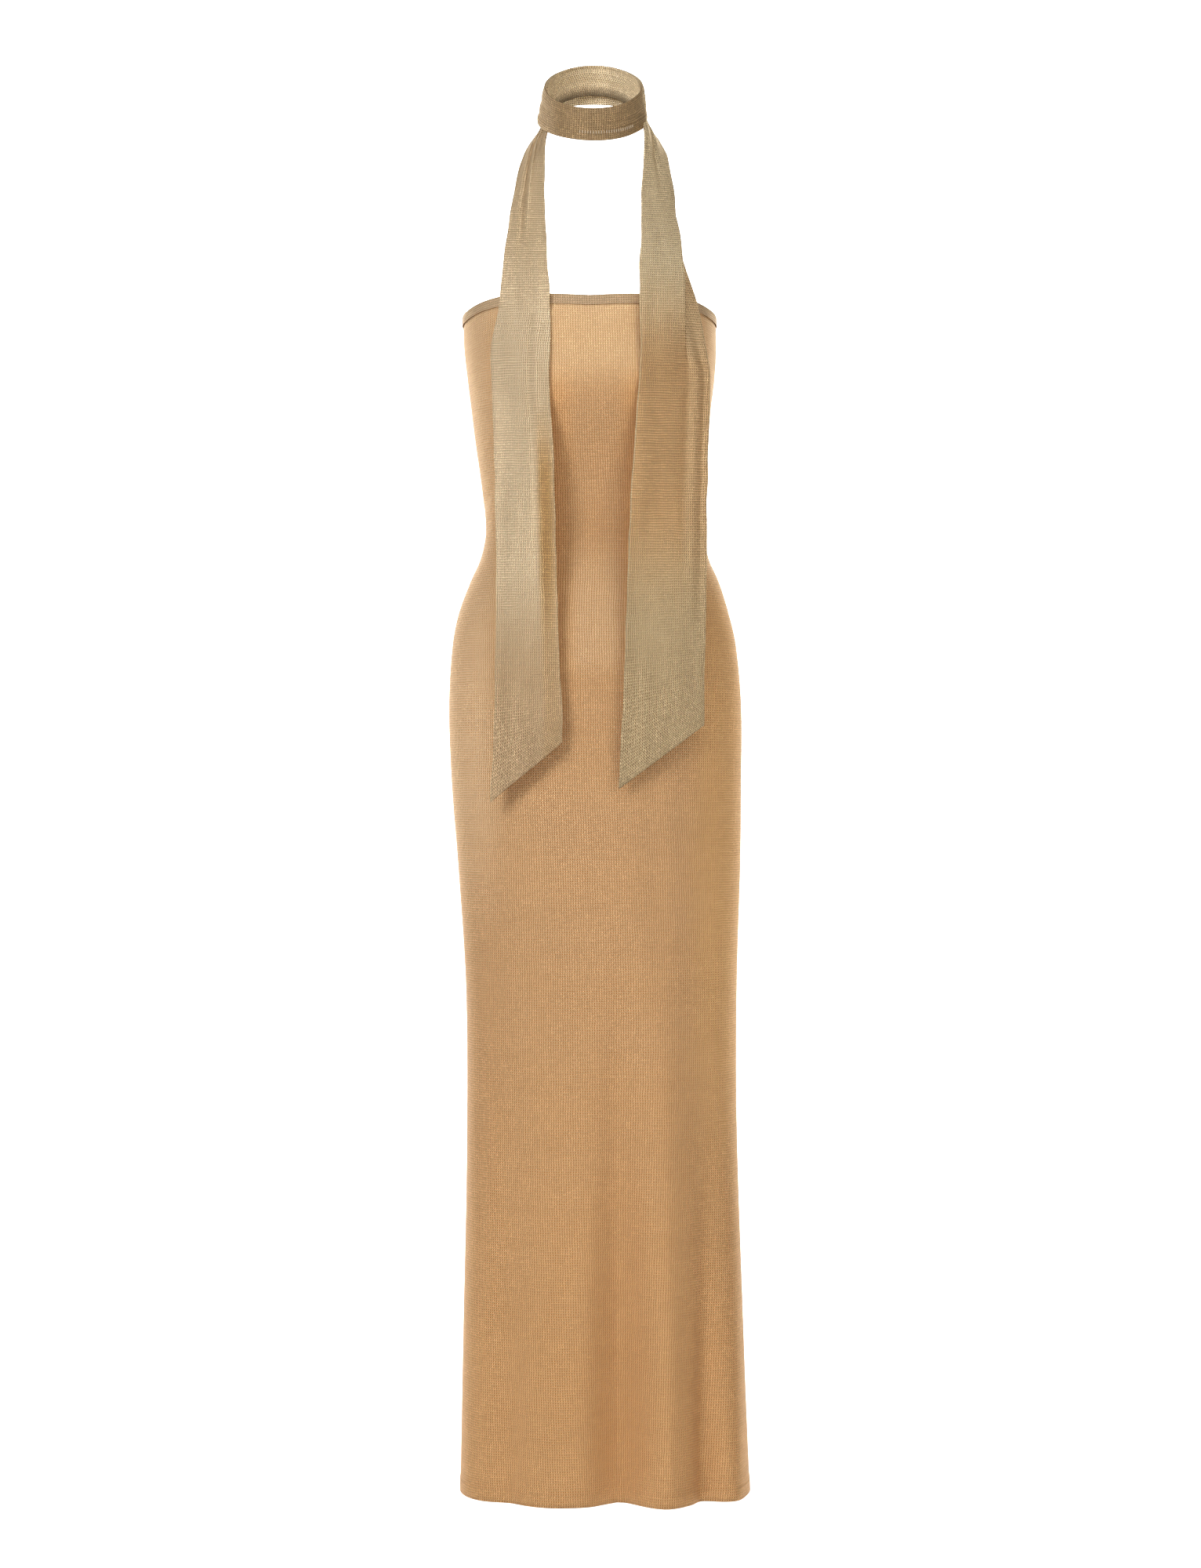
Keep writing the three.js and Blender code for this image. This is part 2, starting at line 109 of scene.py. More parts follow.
# Finish of the knit, the lining and the threads
KNIT_SHEEN = 0.12
KNIT_METAL = 0.4
KNIT_RELIEF = 0.5
KNIT_ROUGHNESS = 0.45
NECK_ROUGHNESS = 0.6
SMOOTH_SHEEN = 0.2
SHEEN_ROUGHNESS = 0.3
# The glint values make some threads paler: painted glints.
# The groove values darken the yarn in its grooves and between its rows: painted shade.
ROW_SHADE_SHARE = 0.4
DRESS_GROOVE_SHADE = 0.34
DRESS_PAINTED_GLINT = 0.9
SCARF_GROOVE_SHADE = 0.46
SCARF_PAINTED_GLINT = 1.2
EDGE_OPENNESS = 0.7
EDGE_GROOVE_SHADE = 0.4
EDGE_PAINTED_GLINT = 0.5
LINING_OPENNESS = 0.4
LINING_GROOVE_SHADE = 0.2
LINING_PAINTED_GLINT = 0.1
LINING_RELIEF = 0.1
LINING_ROUGHNESS = 0.55
THREAD_PLIES = 1800
THREAD_RELIEF = 0.05
THREAD_ROUGHNESS = 0.6

# The stitches: how steep a V's legs are, where they lie in a wale and how narrow they are, and
# where a hole lies in its course. Bigger HOLE_ACROSS values make a smaller hole. The wobble is
# in mm.
STEEP_SLANT = 0.9
PLAIN_SLANT = 0.8
LEG_FROM_MIDDLE = 0.27
LEG_NARROWNESS = 3.3
HOLE_SHIFT = 0.31
HOLE_ACROSS_ROW = 3.2
HOLE_ACROSS_WALE = 3.0
YARN_WOBBLE = 1.8

# Top edge, seams and hem. The seam's half width and the strip beside it where folds fade out are
# shares of a panel's way from seam to seam. A stitch's half length is a share of the space from
# one stitch to the next.
PANEL_TOP = -3.5
UNDER_BINDING = -1.1
BINDING_HEIGHT = 10.5
BINDING_FACING = 2
BINDING_OUTSIDE = 1.15
BINDING_INSIDE = -1.5
BINDING_ROLL = 0.12
HEM_LEVEL = -1308
HEM_TURN = 15
HEM_RISE = 0.6
HEM_STITCHES = 150
HEM_ROW_BELOW_TURN = 1.2
HEM_STITCH_HALF = 0.3
HEM_THREAD_SIZE = (0.55, 0.5)
EDGE_SHAPE_FADES_AT = -120
SEAM_DIP = -0.9
SEAM_HALF_WIDTH = 0.006
FOLDS_FADE_BESIDE_SEAM = 0.05
PUCKER_HALF_HEIGHT = 11

# The lining's inner edges, which show through the knit as a change of tint
BUST_FACING_ENDS = -88
INNER_BRIEF_ENDS = -404

# Scarf round the neck. Angles are in degrees, 0 on the right and 90 behind. The root angles are
# where the spiral starts and ends, at its lower edge and at its upper edge.
NECK_MIDDLE = -1
NECK_HALF_WIDTH = 57.5
NECK_HALF_DEPTH = 64
LAYER_STEP = 2.5
FRONT_BAND = {"bottom": 179, "top": 216}
BACK_BAND = {"bottom": 247, "top": 290}
INNER_BACK_IS_HIGHER_BY = 9
LOWER_EDGE_FLARE = 4
FRONT_BAND_RIGHT_END = -8
LEAN_IN_ABOVE = 2.6
LEAN_OUT_BELOW = 1.0
LEFT_ROOT_ANGLES = (171, 182)
RIGHT_ROOT_ANGLES = (8, -2)
SPIRAL_TURN = 523
OUTER_END_STANDS_OUT = 0.4
OUTER_END_BEGINS = -305
OUTER_END_LENGTH = 40
EDGE_ROLL = -0.9
EDGE_ROLL_WIDTH = 0.07
NECK_WAVE = 0.8
RIGHT_BULGE = (4.2, -12, 16)
LADDER_COUNT = 23
LADDER_ANGLES = (-42, -104)
LADDER_SHARE = 0.245
LADDER_HALF_HEIGHT = 0.06
LADDER_STANDS_OUT = 0.95
LADDER_THREAD_SIZE = (0.9, 0.8)

# Scarf tails
TAIL_CLEARANCE = 2
TAIL_RESTS_BELOW = 16
TAIL_CROWN = 1.5
INNER_STRIP_SHARE = 0.3
PLEAT_STEP = 3.4
PLEAT_OPENS_BELOW = 110
PLEAT_OPENS_OVER = 90
TAIL_EDGE_WAVE = 1.1
EDGE_WAVES_BELOW = 230
EDGE_WAVES_OVER = 60

# How far the dress reaches left and right in X, in front and behind, and how square it is
DRESS_FORM_COLUMNS = ("height", "left", "right", "front", "back", "square")
DRESS_FORM = [
    (6, -146, 135, 106, 96, 2.6),
    (-35, -145, 136, 118, 96, 2.6),
    (-75, -141, 134, 123, 95, 2.5),
    (-110, -137, 130, 119, 90, 2.4),
    (-150, -132, 127, 107, 82, 2.3),
    (-200, -125, 124, 94, 75, 2.2),
    (-245, -121, 122, 88, 73, 2.2),
    (-275, -127, 128, 90, 78, 2.2),
    (-300, -138, 139, 95, 86, 2.2),
    (-335, -151, 150, 101, 97, 2.2),
    (-370, -158, 158, 105, 107, 2.2),
    (-438, -162, 164, 107, 115, 2.2),
    (-525, -159, 164, 107, 116, 2.2),
    (-613, -152, 163, 106, 113, 2.3),
    (-753, -143, 159, 105, 110, 2.4),
    (-928, -142, 159, 106, 110, 2.5),
    (-1138, -146, 166, 108, 112, 2.7),
    (HEM_LEVEL, -149, 173, 110, 114, 2.8),
]

# The top edge, from a panel's middle to its seams: share of the way, and rise
TOP_EDGE = {
    "front": [(0, 3), (0.35, 5), (0.65, 4.5), (0.85, 0), (1, -7)],
    "back": [(0, -10), (0.5, -9), (1, -7)],
}

# Folds that open down the skirt: place in X, rise at the hem, half width, where they start
SKIRT_FOLDS = {
    "front": [
        (-96, -9, 20, -780),
        (-42, 5, 26, -850),
        (28, -26, 22, -700),
        (78, 12, 19, -720),
        (124, -16, 15, -800),
        (152, 6, 11, -820),
    ],
    "back": [
        (-112, 7, 16, -830),
        (-66, -16, 20, -740),
        (-8, 9, 24, -800),
        (48, -19, 22, -700),
        (98, 9, 18, -760),
        (138, -9, 13, -840),
    ],
}

# Slight creases of the dress: middle in X and height, lean (X per height), half length,
# half width and rise
SLIGHT_CREASES = {
    "front": [
        (-118, -210, 0.5, 46, 5, -1.1),
        (-104, -236, 0.9, 34, 4, 0.8),
        (112, -222, -0.6, 40, 5, -1.0),
        (12, -250, 0.05, 60, 9, -0.7),
        (-20, -160, -0.25, 70, 11, 0.9),
        (-62, -640, 0.04, 190, 13, -1.2),
        (66, -610, -0.05, 210, 12, -1.3),
        (8, -700, 0.02, 230, 15, 1.3),
        (110, -560, -0.04, 160, 10, 1.0),
        (-112, -980, 0.03, 150, 8, 1.1),
        (-10, -1080, 0.02, 160, 9, 1.5),
        (52, -1010, -0.03, 170, 9, 1.6),
        (100, -1130, 0.02, 120, 7, -1.2),
        (-70, -1190, -0.05, 100, 8, 1.0),
    ],
    "back": [
        (-96, -238, 0.7, 44, 5, -1.3),
        (90, -244, -0.6, 48, 5, -1.4),
        (6, -228, 0.02, 52, 10, -1.6),
        (-34, -262, 0.5, 40, 6, -1.1),
        (40, -268, -0.5, 36, 6, -1.0),
        (-70, -700, 0.03, 220, 14, 1.3),
        (24, -760, -0.02, 240, 13, -1.4),
        (84, -640, 0.04, 180, 11, 1.1),
        (-20, -1040, 0.03, 150, 9, 1.4),
        (66, -1120, -0.04, 120, 8, 1.2),
    ],
}

# Waves of the hem's turn, where its stitching holds it short: place in X, half width, rise
HEM_PUCKERS = [
    (-138, 6, 0.7),
    (-117, 5, -0.6),
    (-84, 7, 0.8),
    (-57, 6, -0.7),
    (-22, 8, 0.6),
    (6, 5, -0.9),
    (31, 4, 0.9),
    (47, 5, -0.6),
    (70, 7, 0.7),
    (101, 6, -0.8),
    (133, 5, 0.7),
    (155, 5, -0.6),
]

# The tails' sections from the neck to the cut end: inner edge, outer edge, and the pleat's
# fold, tuck and end as shares of the width, its strength, and how far the inner strip turns back
TAIL_COLUMNS = (
    "inner_x", "inner_depth", "inner_height",
    "outer_x", "outer_depth", "outer_height",
    "fold", "tuck", "end", "pleat", "turn",
)
FLAT_FOLD = 0.6
FLAT_TUCK = 0.75
FLAT = (FLAT_FOLD, FLAT_TUCK, 1, 0, 0)
LEFT_TAIL = [
    (-53.5, 2, 244, -57, -9, 212, *FLAT),
    (-51.5, 14, 228, -59, -4, 205, *FLAT),
    (-50, 24, 208, -65, 0, 197, *FLAT),
    (-54, 38, 186, -73, 5, 185, *FLAT),
    (-55, 56, 164, -79, 19, 169, *FLAT),
    (-54, 78, 124, -88, 46, 129, *FLAT),
    (-52, 98, 72, -95, 73, 76, *FLAT),
    (-49, 110, 24, -101, 91, 26, *FLAT),
    (-47, 114, -12, -104, 93, -10, *FLAT),
    (-47, 114, -54, -111, 90, -51, *FLAT),
    (-48, 120, -88, -111, 92, -86, *FLAT),
    (-45, 122, -140, -109, 94, -138, *FLAT[:4], 1),
    (-42, 122, -226, -107, 95, -224, *FLAT[:4], 5),
    (-40, 121, -310, -106, 97, -309, *FLAT[:4], 6),
    (-37, 121, -397, -107, 100, -396, *FLAT[:4], 4),
    (-34, 121, -447, -108, 103, -460, *FLAT[:4], 2),
    (-34, 121, -481, -112, 107, -546, *FLAT),
]
RIGHT_TAIL = [
    (53.2, 0, 247, 57, -11, 212, *FLAT),
    (53.2, 8, 231, 61.5, -7, 205, *FLAT),
    (54.4, 19, 211, 69, -1, 197, *FLAT),
    (55, 41, 191, 76, 6, 184, *FLAT),
    (54, 58, 164, 82, 18, 168, *FLAT),
    (52, 79, 124, 88, 45, 129, 0.85, 0.78, 0.98, 0.6, 0),
    (51, 97, 72, 94, 74, 74, 1, 0.7, 0.95, 1, 0),
    (49, 106, 34, 99, 86, 36, 0.96, 0.68, 1, 1, 0),
    (49, 111, -1, 111, 88, 1, 0.8, 0.64, 1, 1, 0),
    (49, 115, -28, 117, 90, -26, 0.73, 0.64, 1, 1, 0),
    (50, 118, -52, 122, 90, -50, 0.68, 0.67, 1, 0.7, 0),
    (49, 121, -80, 126, 88, -78, *FLAT),
    (46, 122, -127, 126, 87, -124, *FLAT),
    (41, 122, -185, 124, 88, -182, *FLAT),
    (38, 121, -250, 123, 90, -248, *FLAT),
    (35, 120, -330, 122, 93, -326, *FLAT),
    (32, 120, -420, 120, 97, -405, *FLAT),
    (26, 119, -532, 120, 99, -462, *FLAT),
]

# Creases along the tails: share across at the start and at the end, share along where they
# start and end, half width as a share, and rise in mm
LEFT_TAIL_CREASES = [
    (0.44, 0.50, -0.04, 0.44, 0.060, 3.4),
    (0.60, 0.64, -0.04, 0.48, 0.065, -4.4),
    (0.78, 0.80, 0.02, 0.40, 0.060, 2.2),
    (0.16, 0.20, 0.02, 0.36, 0.070, -1.8),
    (0.88, 0.92, 0.20, 0.50, 0.030, -0.9),
    (0.20, 0.24, 0.40, 0.96, 0.050, 1.8),
    (0.33, 0.34, 0.44, 0.92, 0.045, -1.4),
    (0.66, 0.72, 0.50, 0.84, 0.090, -0.9),
]
RIGHT_TAIL_CREASES = [
    (0.26, 0.22, -0.04, 0.30, 0.055, 3.0),
    (0.46, 0.40, -0.04, 0.36, 0.070, -4.0),
    (0.70, 0.62, -0.02, 0.34, 0.060, 2.0),
    (0.86, 0.84, 0.00, 0.28, 0.050, -1.8),
    (0.90, 0.91, 0.52, 0.94, 0.040, -2.4),
    (0.80, 0.80, 0.48, 0.92, 0.050, 1.6),
    (0.70, 0.67, 0.54, 0.90, 0.045, -1.0),
    (0.34, 0.40, 0.56, 0.86, 0.110, -0.8),
]

# Soft folds of the neck band: place up it at its front right end and at the left, or behind,
# where it drifts with the angle, half width and rise
FRONT_PLEATS = [
    (0.30, 0.245, 0.030, -0.8),
    (0.27, 0.13, 0.070, 0.6),
    (0.36, 0.42, 0.070, 0.5),
    (0.42, 0.60, 0.060, -0.7),
    (0.50, 0.76, 0.080, 0.5),
    (0.60, 0.90, 0.060, -0.4),
]
BACK_PLEATS = [
    (0.26, 0.06, 0.06, -0.9),
    (0.48, -0.05, 0.07, 1.0),
    (0.74, 0.04, 0.05, -0.8),
    (0.90, 0.02, 0.06, 0.8),
]

# Studio: places in metres, the lens and its film in millimetres, the lights' power in watts
CAMERA_PLACE = (0.007, -3.5, -0.5255)
CAMERA_LENS = 72
CAMERA_FILM = 36
FLOOR_LEVEL = -1.9
BACKDROP = {"near": -8, "far": 6.4, "half_width": 10, "height": 9, "bend": 2}
BEND_STEPS = 12
PALE_PAPER = (0.95, 0.95, 0.95, 1)
PAPER_ROUGHNESS = 0.9
WARM_WHITE = (1, 0.93, 0.82)
ROOM_LIGHT = (1, 0.93, 0.84, 1)
ROOM_STRENGTH = 0.2
LIGHTS = [
    ("key_light", (-2.2, -2.8, 1.5), (0, 0, -0.15), (1.4, 1.4), 83, (1, 1, 1)),
    ("fill_light", (2.4, -3.4, 1.1), (0, 0, -0.15), (2.0, 2.0), 44, WARM_WHITE),
    ("top_light", (0.3, -2.6, 2.3), (0, 0, -0.4), (2.0, 1.6), 18, (1, 1, 1)),
    ("backdrop_light", (0.0, 4.1, 2.6), (0, 6.4, 0.2), (9.0, 1.2), 740, (1, 1, 1)),
]


def clamp01(value):
    return min(1.0, max(0.0, value))


def ease(value):
    t = clamp01(value)
    return t * t * (3 - 2 * t)


def mix(a, b, share):
    return a + (b - a) * share


def bump(distance, width):
    return math.exp(-((distance / width) ** 2))


def smooth_row(rows, at, key=0):
    """The table's row at a key, on a smooth curve through its rows, as a list of its columns."""
    ordered = rows if rows[-1][key] > rows[0][key] else rows[::-1]
    last = len(ordered) - 1
    above = next((i for i, row in enumerate(ordered) if row[key] > at), last)
    lower = min(last - 1, max(0, above - 1))
    start, end = ordered[lower], ordered[lower + 1]
    span = end[key] - start[key]
    t = clamp01((at - start[key]) / span)

    def slope(index, column):
        before, after = ordered[max(0, index - 1)], ordered[min(last, index + 1)]
        return (after[column] - before[column]) / (after[key] - before[key])

    return [
        start[c] * (1 + 2 * t) * (1 - t) ** 2
        + slope(lower, c) * span * t * (1 - t) ** 2
        + end[c] * t * t * (3 - 2 * t)
        + slope(lower + 1, c) * span * t * t * (t - 1)
        for c in range(len(start))
    ]


@functools.lru_cache(maxsize=None)
def dress_form(height):
    row = dict(zip(DRESS_FORM_COLUMNS, smooth_row(DRESS_FORM, height)))
    row["middle"] = (row["left"] + row["right"]) / 2
    row["half_width"] = (row["right"] - row["left"]) / 2
    return row


def skirt_rise(side, x, height):
    total = 0
    for place, rise, width, start in SKIRT_FOLDS[side]:
        grown = clamp01((start - height) / (start - HEM_LEVEL))
        total += rise * grown * bump(x - place, width)
    return total


def crease_rise(side, x, height):
    total = 0
    for place, middle, lean, half_length, half_width, rise in SLIGHT_CREASES[side]:
        along = (height - middle) / half_length
        if abs(along) < 1:
            off = x - place - lean * (height - middle)
            total += rise * math.cos(along * math.pi / 2) ** 2 * bump(off, half_width)
    return total


def pucker_rise(x, height):
    near_hem = bump(height - (HEM_LEVEL + HEM_TURN), PUCKER_HALF_HEIGHT)
    return near_hem * sum(rise * bump(x - place, width) for place, width, rise in HEM_PUCKERS)


def dress_point(side, share, height, out):
    """A point of the dress's outer face, moved out along its section's normal."""
    form = dress_form(height)
    depth, square = form[side], form["square"]
    turn = math.pi * clamp01(share)
    at_seam = share <= 0 or share >= 1
    across = -math.copysign(abs(math.cos(turn)) ** (2 / square), math.cos(turn))
    deep = 0 if at_seam else math.sin(turn) ** (2 / square)
    normal = Vector((
        math.copysign(abs(across) ** (square - 1), across) / form["half_width"],
        deep ** (square - 1) / depth,
    )).normalized()
    x = form["middle"] + across * form["half_width"]
    from_seam = min(share, 1 - share)
    relief = skirt_rise(side, x, height) + crease_rise(side, x, height) + pucker_rise(x, height)
    seam_dip = SEAM_DIP * bump(from_seam, SEAM_HALF_WIDTH)
    move = out + relief * ease(from_seam / FOLDS_FADE_BESIDE_SEAM) + seam_dip
    towards = -1 if side == "front" else 1
    stays = ease(1 - height / EDGE_SHAPE_FADES_AT)
    rise = smooth_row(TOP_EDGE[side], min(1, abs(across)))[1] if stays > 0 else 0
    return Vector((
        x + normal.x * move,
        towards * (depth * deep + normal.y * move),
        height + rise * stays,
    ))


def dress_front_depth(x, height, clearance):
    form = dress_form(height)
    across = abs(x - form["middle"]) / (form["half_width"] + clearance)
    if height > TAIL_RESTS_BELOW or across >= 1:
        return 0
    return (form["front"] + clearance) * (1 - across ** form["square"]) ** (1 / form["square"])


def neck_point(angle, share, layer, lift, out):
    """A point of the scarf round the neck. The angle is 0 on the right and 90 behind."""
    turn = math.radians(angle)
    shrink = LAYER_STEP * layer
    flare = LOWER_EDGE_FLARE * (1 - share) ** 2 * (1 - layer)
    radius_x = NECK_HALF_WIDTH - shrink + flare + out
    radius_y = NECK_HALF_DEPTH - shrink + flare + out
    towards_back = (1 + math.sin(turn)) / 2
    bottom = mix(FRONT_BAND["bottom"], BACK_BAND["bottom"], towards_back) + lift
    top = mix(FRONT_BAND["top"], BACK_BAND["top"], towards_back)
    return Vector((
        NECK_MIDDLE + radius_x * math.cos(turn),
        radius_y * math.sin(turn),
        mix(bottom, top, share),
    ))


def measured_out(points):
    """How far each point of a grid lies from its row's middle, and down the middle column."""
    middle = len(points[0]) // 2
    down = 0
    flat = []
    for above, row in zip([points[0], *points], points):
        down += (row[middle] - above[middle]).length
        across = [0]
        for near, far in zip(row, row[1:]):
            across.append(across[-1] + (far - near).length)
        flat.append([Vector((reach - across[middle], down)) for reach in across])
    return flat


def as_object(name, shape):
    mesh = bpy.data.meshes.new(name)
    shape.to_mesh(mesh)
    shape.free()
    made = bpy.data.objects.new(name, mesh)
    bpy.context.collection.objects.link(made)
    return made


def cloth_grid(name, columns, rows, place, flip=False, turned=False):
    """A sheet whose points, in mm, place gives for each share across and along it. The UV map
    cloth holds the flat cloth in metres, so that stitches keep their size, and shares the
    shares. A turned sheet's wales run across it."""
    points = [[place(i / columns, j / rows) for i in range(columns + 1)] for j in range(rows + 1)]
    flat = measured_out(points)
    sheet = bmesh.new()
    bmesh.ops.create_grid(sheet, x_segments=columns, y_segments=rows, size=0.5)
    cloth = sheet.loops.layers.uv.new("cloth")
    shares = sheet.loops.layers.uv.new("shares")
    cells = {v: (round((v.co.x + 0.5) * columns), round((0.5 - v.co.y) * rows)) for v in sheet.verts}
    for face in sheet.faces:
        face.smooth = True
        for loop in face.loops:
            i, j = cells[loop.vert]
            spot = flat[j][i] * MM
            loop[cloth].uv = spot.yx if turned else spot
            loop[shares].uv = (i / columns, j / rows)
    for vert, (i, j) in cells.items():
        vert.co = points[j][i] * MM
    if flip:
        bmesh.ops.reverse_faces(sheet, faces=sheet.faces)
    return as_object(name, sheet)


def thicken(piece, wall, offset, lining=False, rounded=False):
    solid = piece.modifiers.new("wall", "SOLIDIFY")
    solid.thickness = wall * MM
    solid.offset = offset
    if lining:
        solid.material_offset = 1
    if rounded:
        smooth = piece.modifiers.new("soft edges", "SUBSURF")
        smooth.levels = smooth.render_levels = 1


# Colours and materials

def linear(r, g, b):
    """A colour given as it looks on a screen, 0 to 255, as the linear values that nodes take."""
    def one(c):
        c /= 255
        return c / 12.92 if c <= 0.04045 else ((c + 0.055) / 1.055) ** 2.4
    return (one(r), one(g), one(b), 1)


class Nodes:
    """Short ways to add and join the nodes of one material."""

    def __init__(self, name):
        self.material = bpy.data.materials.new(name)
        self.material.use_nodes = True
        self.tree = self.material.node_tree
        self.tree.nodes.clear()

    def add(self, kind, **settings):
        node = self.tree.nodes.new(kind)
        for key, value in settings.items():
            setattr(node, key, value)
        return node

    def link(self, source, target):
        self.tree.links.new(source, target)

    def feed(self, socket, value):
        if hasattr(value, "is_output"):
            self.link(value, socket)
        elif value is not None:
            socket.default_value = value

    def math(self, operation, a, b=None, c=None, clamp=False):
        node = self.add("ShaderNodeMath", operation=operation, use_clamp=clamp)
        for socket, value in zip(node.inputs, (a, b, c)):
            self.feed(socket, value)
        return node.outputs[0]

    def blend(self, share, a, b, mode="MIX"):
        node = self.add("ShaderNodeMix", data_type="RGBA", blend_type=mode)
        self.feed(node.inputs[0], share)
        self.feed(node.inputs[6], a)
        self.feed(node.inputs[7], b)
        return node.outputs[2]

    def step(self, value, low, high):
        node = self.add("ShaderNodeMapRange", interpolation_type="SMOOTHSTEP")
        self.feed(node.inputs[0], value)
        node.inputs[1].default_value = low
        node.inputs[2].default_value = high
        return node.outputs[0]

    def times(self, colour, share):
        """The colour with its brightness times a share."""
        grey = self.add("ShaderNodeCombineXYZ")
        for socket in grey.inputs:
            self.link(share, socket)
        return self.blend(1.0, colour, grey.outputs[0], mode="MULTIPLY")

    def finish(self, colour, height, relief, roughness, sheen, metallic):
        shader = self.add("ShaderNodeBsdfPrincipled")
        self.feed(shader.inputs["Base Color"], colour)
        self.feed(shader.inputs["Roughness"], roughness)
        shader.inputs["Metallic"].default_value = metallic
        shader.inputs["Specular Tint"].default_value = linear(*SHINE_TINT)
        shader.inputs["Sheen Weight"].default_value = sheen
        shader.inputs["Sheen Roughness"].default_value = SHEEN_ROUGHNESS
        shader.inputs["Sheen Tint"].default_value = linear(*SHEEN_TINT)
        bumps = self.add("ShaderNodeBump")
        bumps.inputs["Strength"].default_value = 1
        bumps.inputs["Distance"].default_value = relief * MM
        self.feed(bumps.inputs["Height"], height)
        self.link(bumps.outputs[0], shader.inputs["Normal"])
        output = self.add("ShaderNodeOutputMaterial")
        self.link(shader.outputs[0], output.inputs[0])
        return self.material


def stitch_pattern(nodes, wale, course, slant):
    """Rows of knitted Vs on the cloth's own UV map: their height, the holes between them, a
    random value for each leg of a V, and how near the middle of its row a place is."""
    uv = nodes.add("ShaderNodeUVMap", uv_map="cloth")
    wobble = nodes.add("ShaderNodeTexNoise", noise_dimensions="2D")
    wobble.inputs["Scale"].default_value = 60
    wobble.inputs["Detail"].default_value = 2
    nodes.link(uv.outputs[0], wobble.inputs["Vector"])
    shift = nodes.add("ShaderNodeVectorMath", operation="SCALE")
    nodes.link(wobble.outputs["Color"], shift.inputs[0])
    shift.inputs["Scale"].default_value = YARN_WOBBLE * MM
    moved = nodes.add("ShaderNodeVectorMath", operation="ADD")
    nodes.link(uv.outputs[0], moved.inputs[0])
    nodes.link(shift.outputs[0], moved.inputs[1])
    counted = nodes.add("ShaderNodeMapping")
    counted.inputs["Scale"].default_value = (1 / (wale * MM), 1 / (course * MM), 1)
    nodes.link(moved.outputs[0], counted.inputs[0])
    split = nodes.add("ShaderNodeSeparateXYZ")
    nodes.link(counted.outputs[0], split.inputs[0])
    across, along = split.outputs[0], split.outputs[1]

    from_middle = nodes.math("ABSOLUTE", nodes.math("SUBTRACT", nodes.math("FRACT", across), 0.5))
    slanted = nodes.math("MULTIPLY_ADD", from_middle, slant, along)
    row = nodes.math("SINE", nodes.math("MULTIPLY", nodes.math("FRACT", slanted), math.pi))
    from_leg = nodes.math("SUBTRACT", from_middle, LEG_FROM_MIDDLE)
    from_leg = nodes.math("MULTIPLY", from_leg, LEG_NARROWNESS)
    leg = nodes.math("SUBTRACT", 1, nodes.math("MULTIPLY", from_leg, from_leg), clamp=True)
    height = nodes.math("MULTIPLY", row, nodes.math("MULTIPLY_ADD", leg, 0.5, 0.5))

    half_row = nodes.math("FRACT", nodes.math("ADD", along, HOLE_SHIFT))
    from_row = nodes.math("MULTIPLY", nodes.math("SUBTRACT", half_row, 0.5), HOLE_ACROSS_ROW)
    from_wale = nodes.math("MULTIPLY", from_middle, HOLE_ACROSS_WALE)
    far = nodes.math(
        "ADD",
        nodes.math("MULTIPLY", from_row, from_row),
        nodes.math("MULTIPLY", from_wale, from_wale),
    )
    hole = nodes.step(far, 1.3, 0.2)

    stitch = nodes.add("ShaderNodeCombineXYZ")
    nodes.link(nodes.math("FLOOR", nodes.math("MULTIPLY", across, 2)), stitch.inputs[0])
    nodes.link(nodes.math("FLOOR", slanted), stitch.inputs[1])
    per_leg = nodes.add("ShaderNodeTexWhiteNoise", noise_dimensions="2D")
    nodes.link(stitch.outputs[0], per_leg.inputs["Vector"])
    between_rows = nodes.math("SINE", nodes.math("MULTIPLY", nodes.math("FRACT", along), math.pi))
    return height, hole, per_leg.outputs["Value"], between_rows


def clouds(nodes, scale, detail=2):
    """Slow changes over the cloth, 0 to 1, with their own scale across, in depth and down."""
    place = nodes.add("ShaderNodeTexCoord")
    stretched = nodes.add("ShaderNodeMapping")
    stretched.inputs["Scale"].default_value = scale
    nodes.link(place.outputs["Object"], stretched.inputs[0])
    cloud = nodes.add("ShaderNodeTexNoise")
    cloud.inputs["Scale"].default_value = 1
    cloud.inputs["Detail"].default_value = detail
    nodes.link(stretched.outputs[0], cloud.inputs["Vector"])
    return nodes.step(cloud.outputs["Fac"], 0.3, 0.7)


def place_of(nodes):
    place = nodes.add("ShaderNodeTexCoord")
    split = nodes.add("ShaderNodeSeparateXYZ")
    nodes.link(place.outputs["Object"], split.inputs[0])
    return split.outputs


def grain(nodes, size, amount):
    """Fine unevenness of the yarn, on the cloth's UV map: a share that its tone is times."""
    uv = nodes.add("ShaderNodeUVMap", uv_map="cloth")
    fine = nodes.add("ShaderNodeTexNoise", noise_dimensions="2D")
    fine.inputs["Scale"].default_value = 1 / (size * MM)
    fine.inputs["Detail"].default_value = 3
    fine.inputs["Roughness"].default_value = 0.7
    nodes.link(uv.outputs[0], fine.inputs["Vector"])
    spread = nodes.step(fine.outputs["Fac"], 0.3, 0.7)
    return nodes.math("MULTIPLY_ADD", spread, 2 * amount, 1 - amount)


def share_of(nodes, axis):
    shares = nodes.add("ShaderNodeUVMap", uv_map="shares")
    split = nodes.add("ShaderNodeSeparateXYZ")
    nodes.link(shares.outputs[0], split.inputs[0])
    return split.outputs[axis]


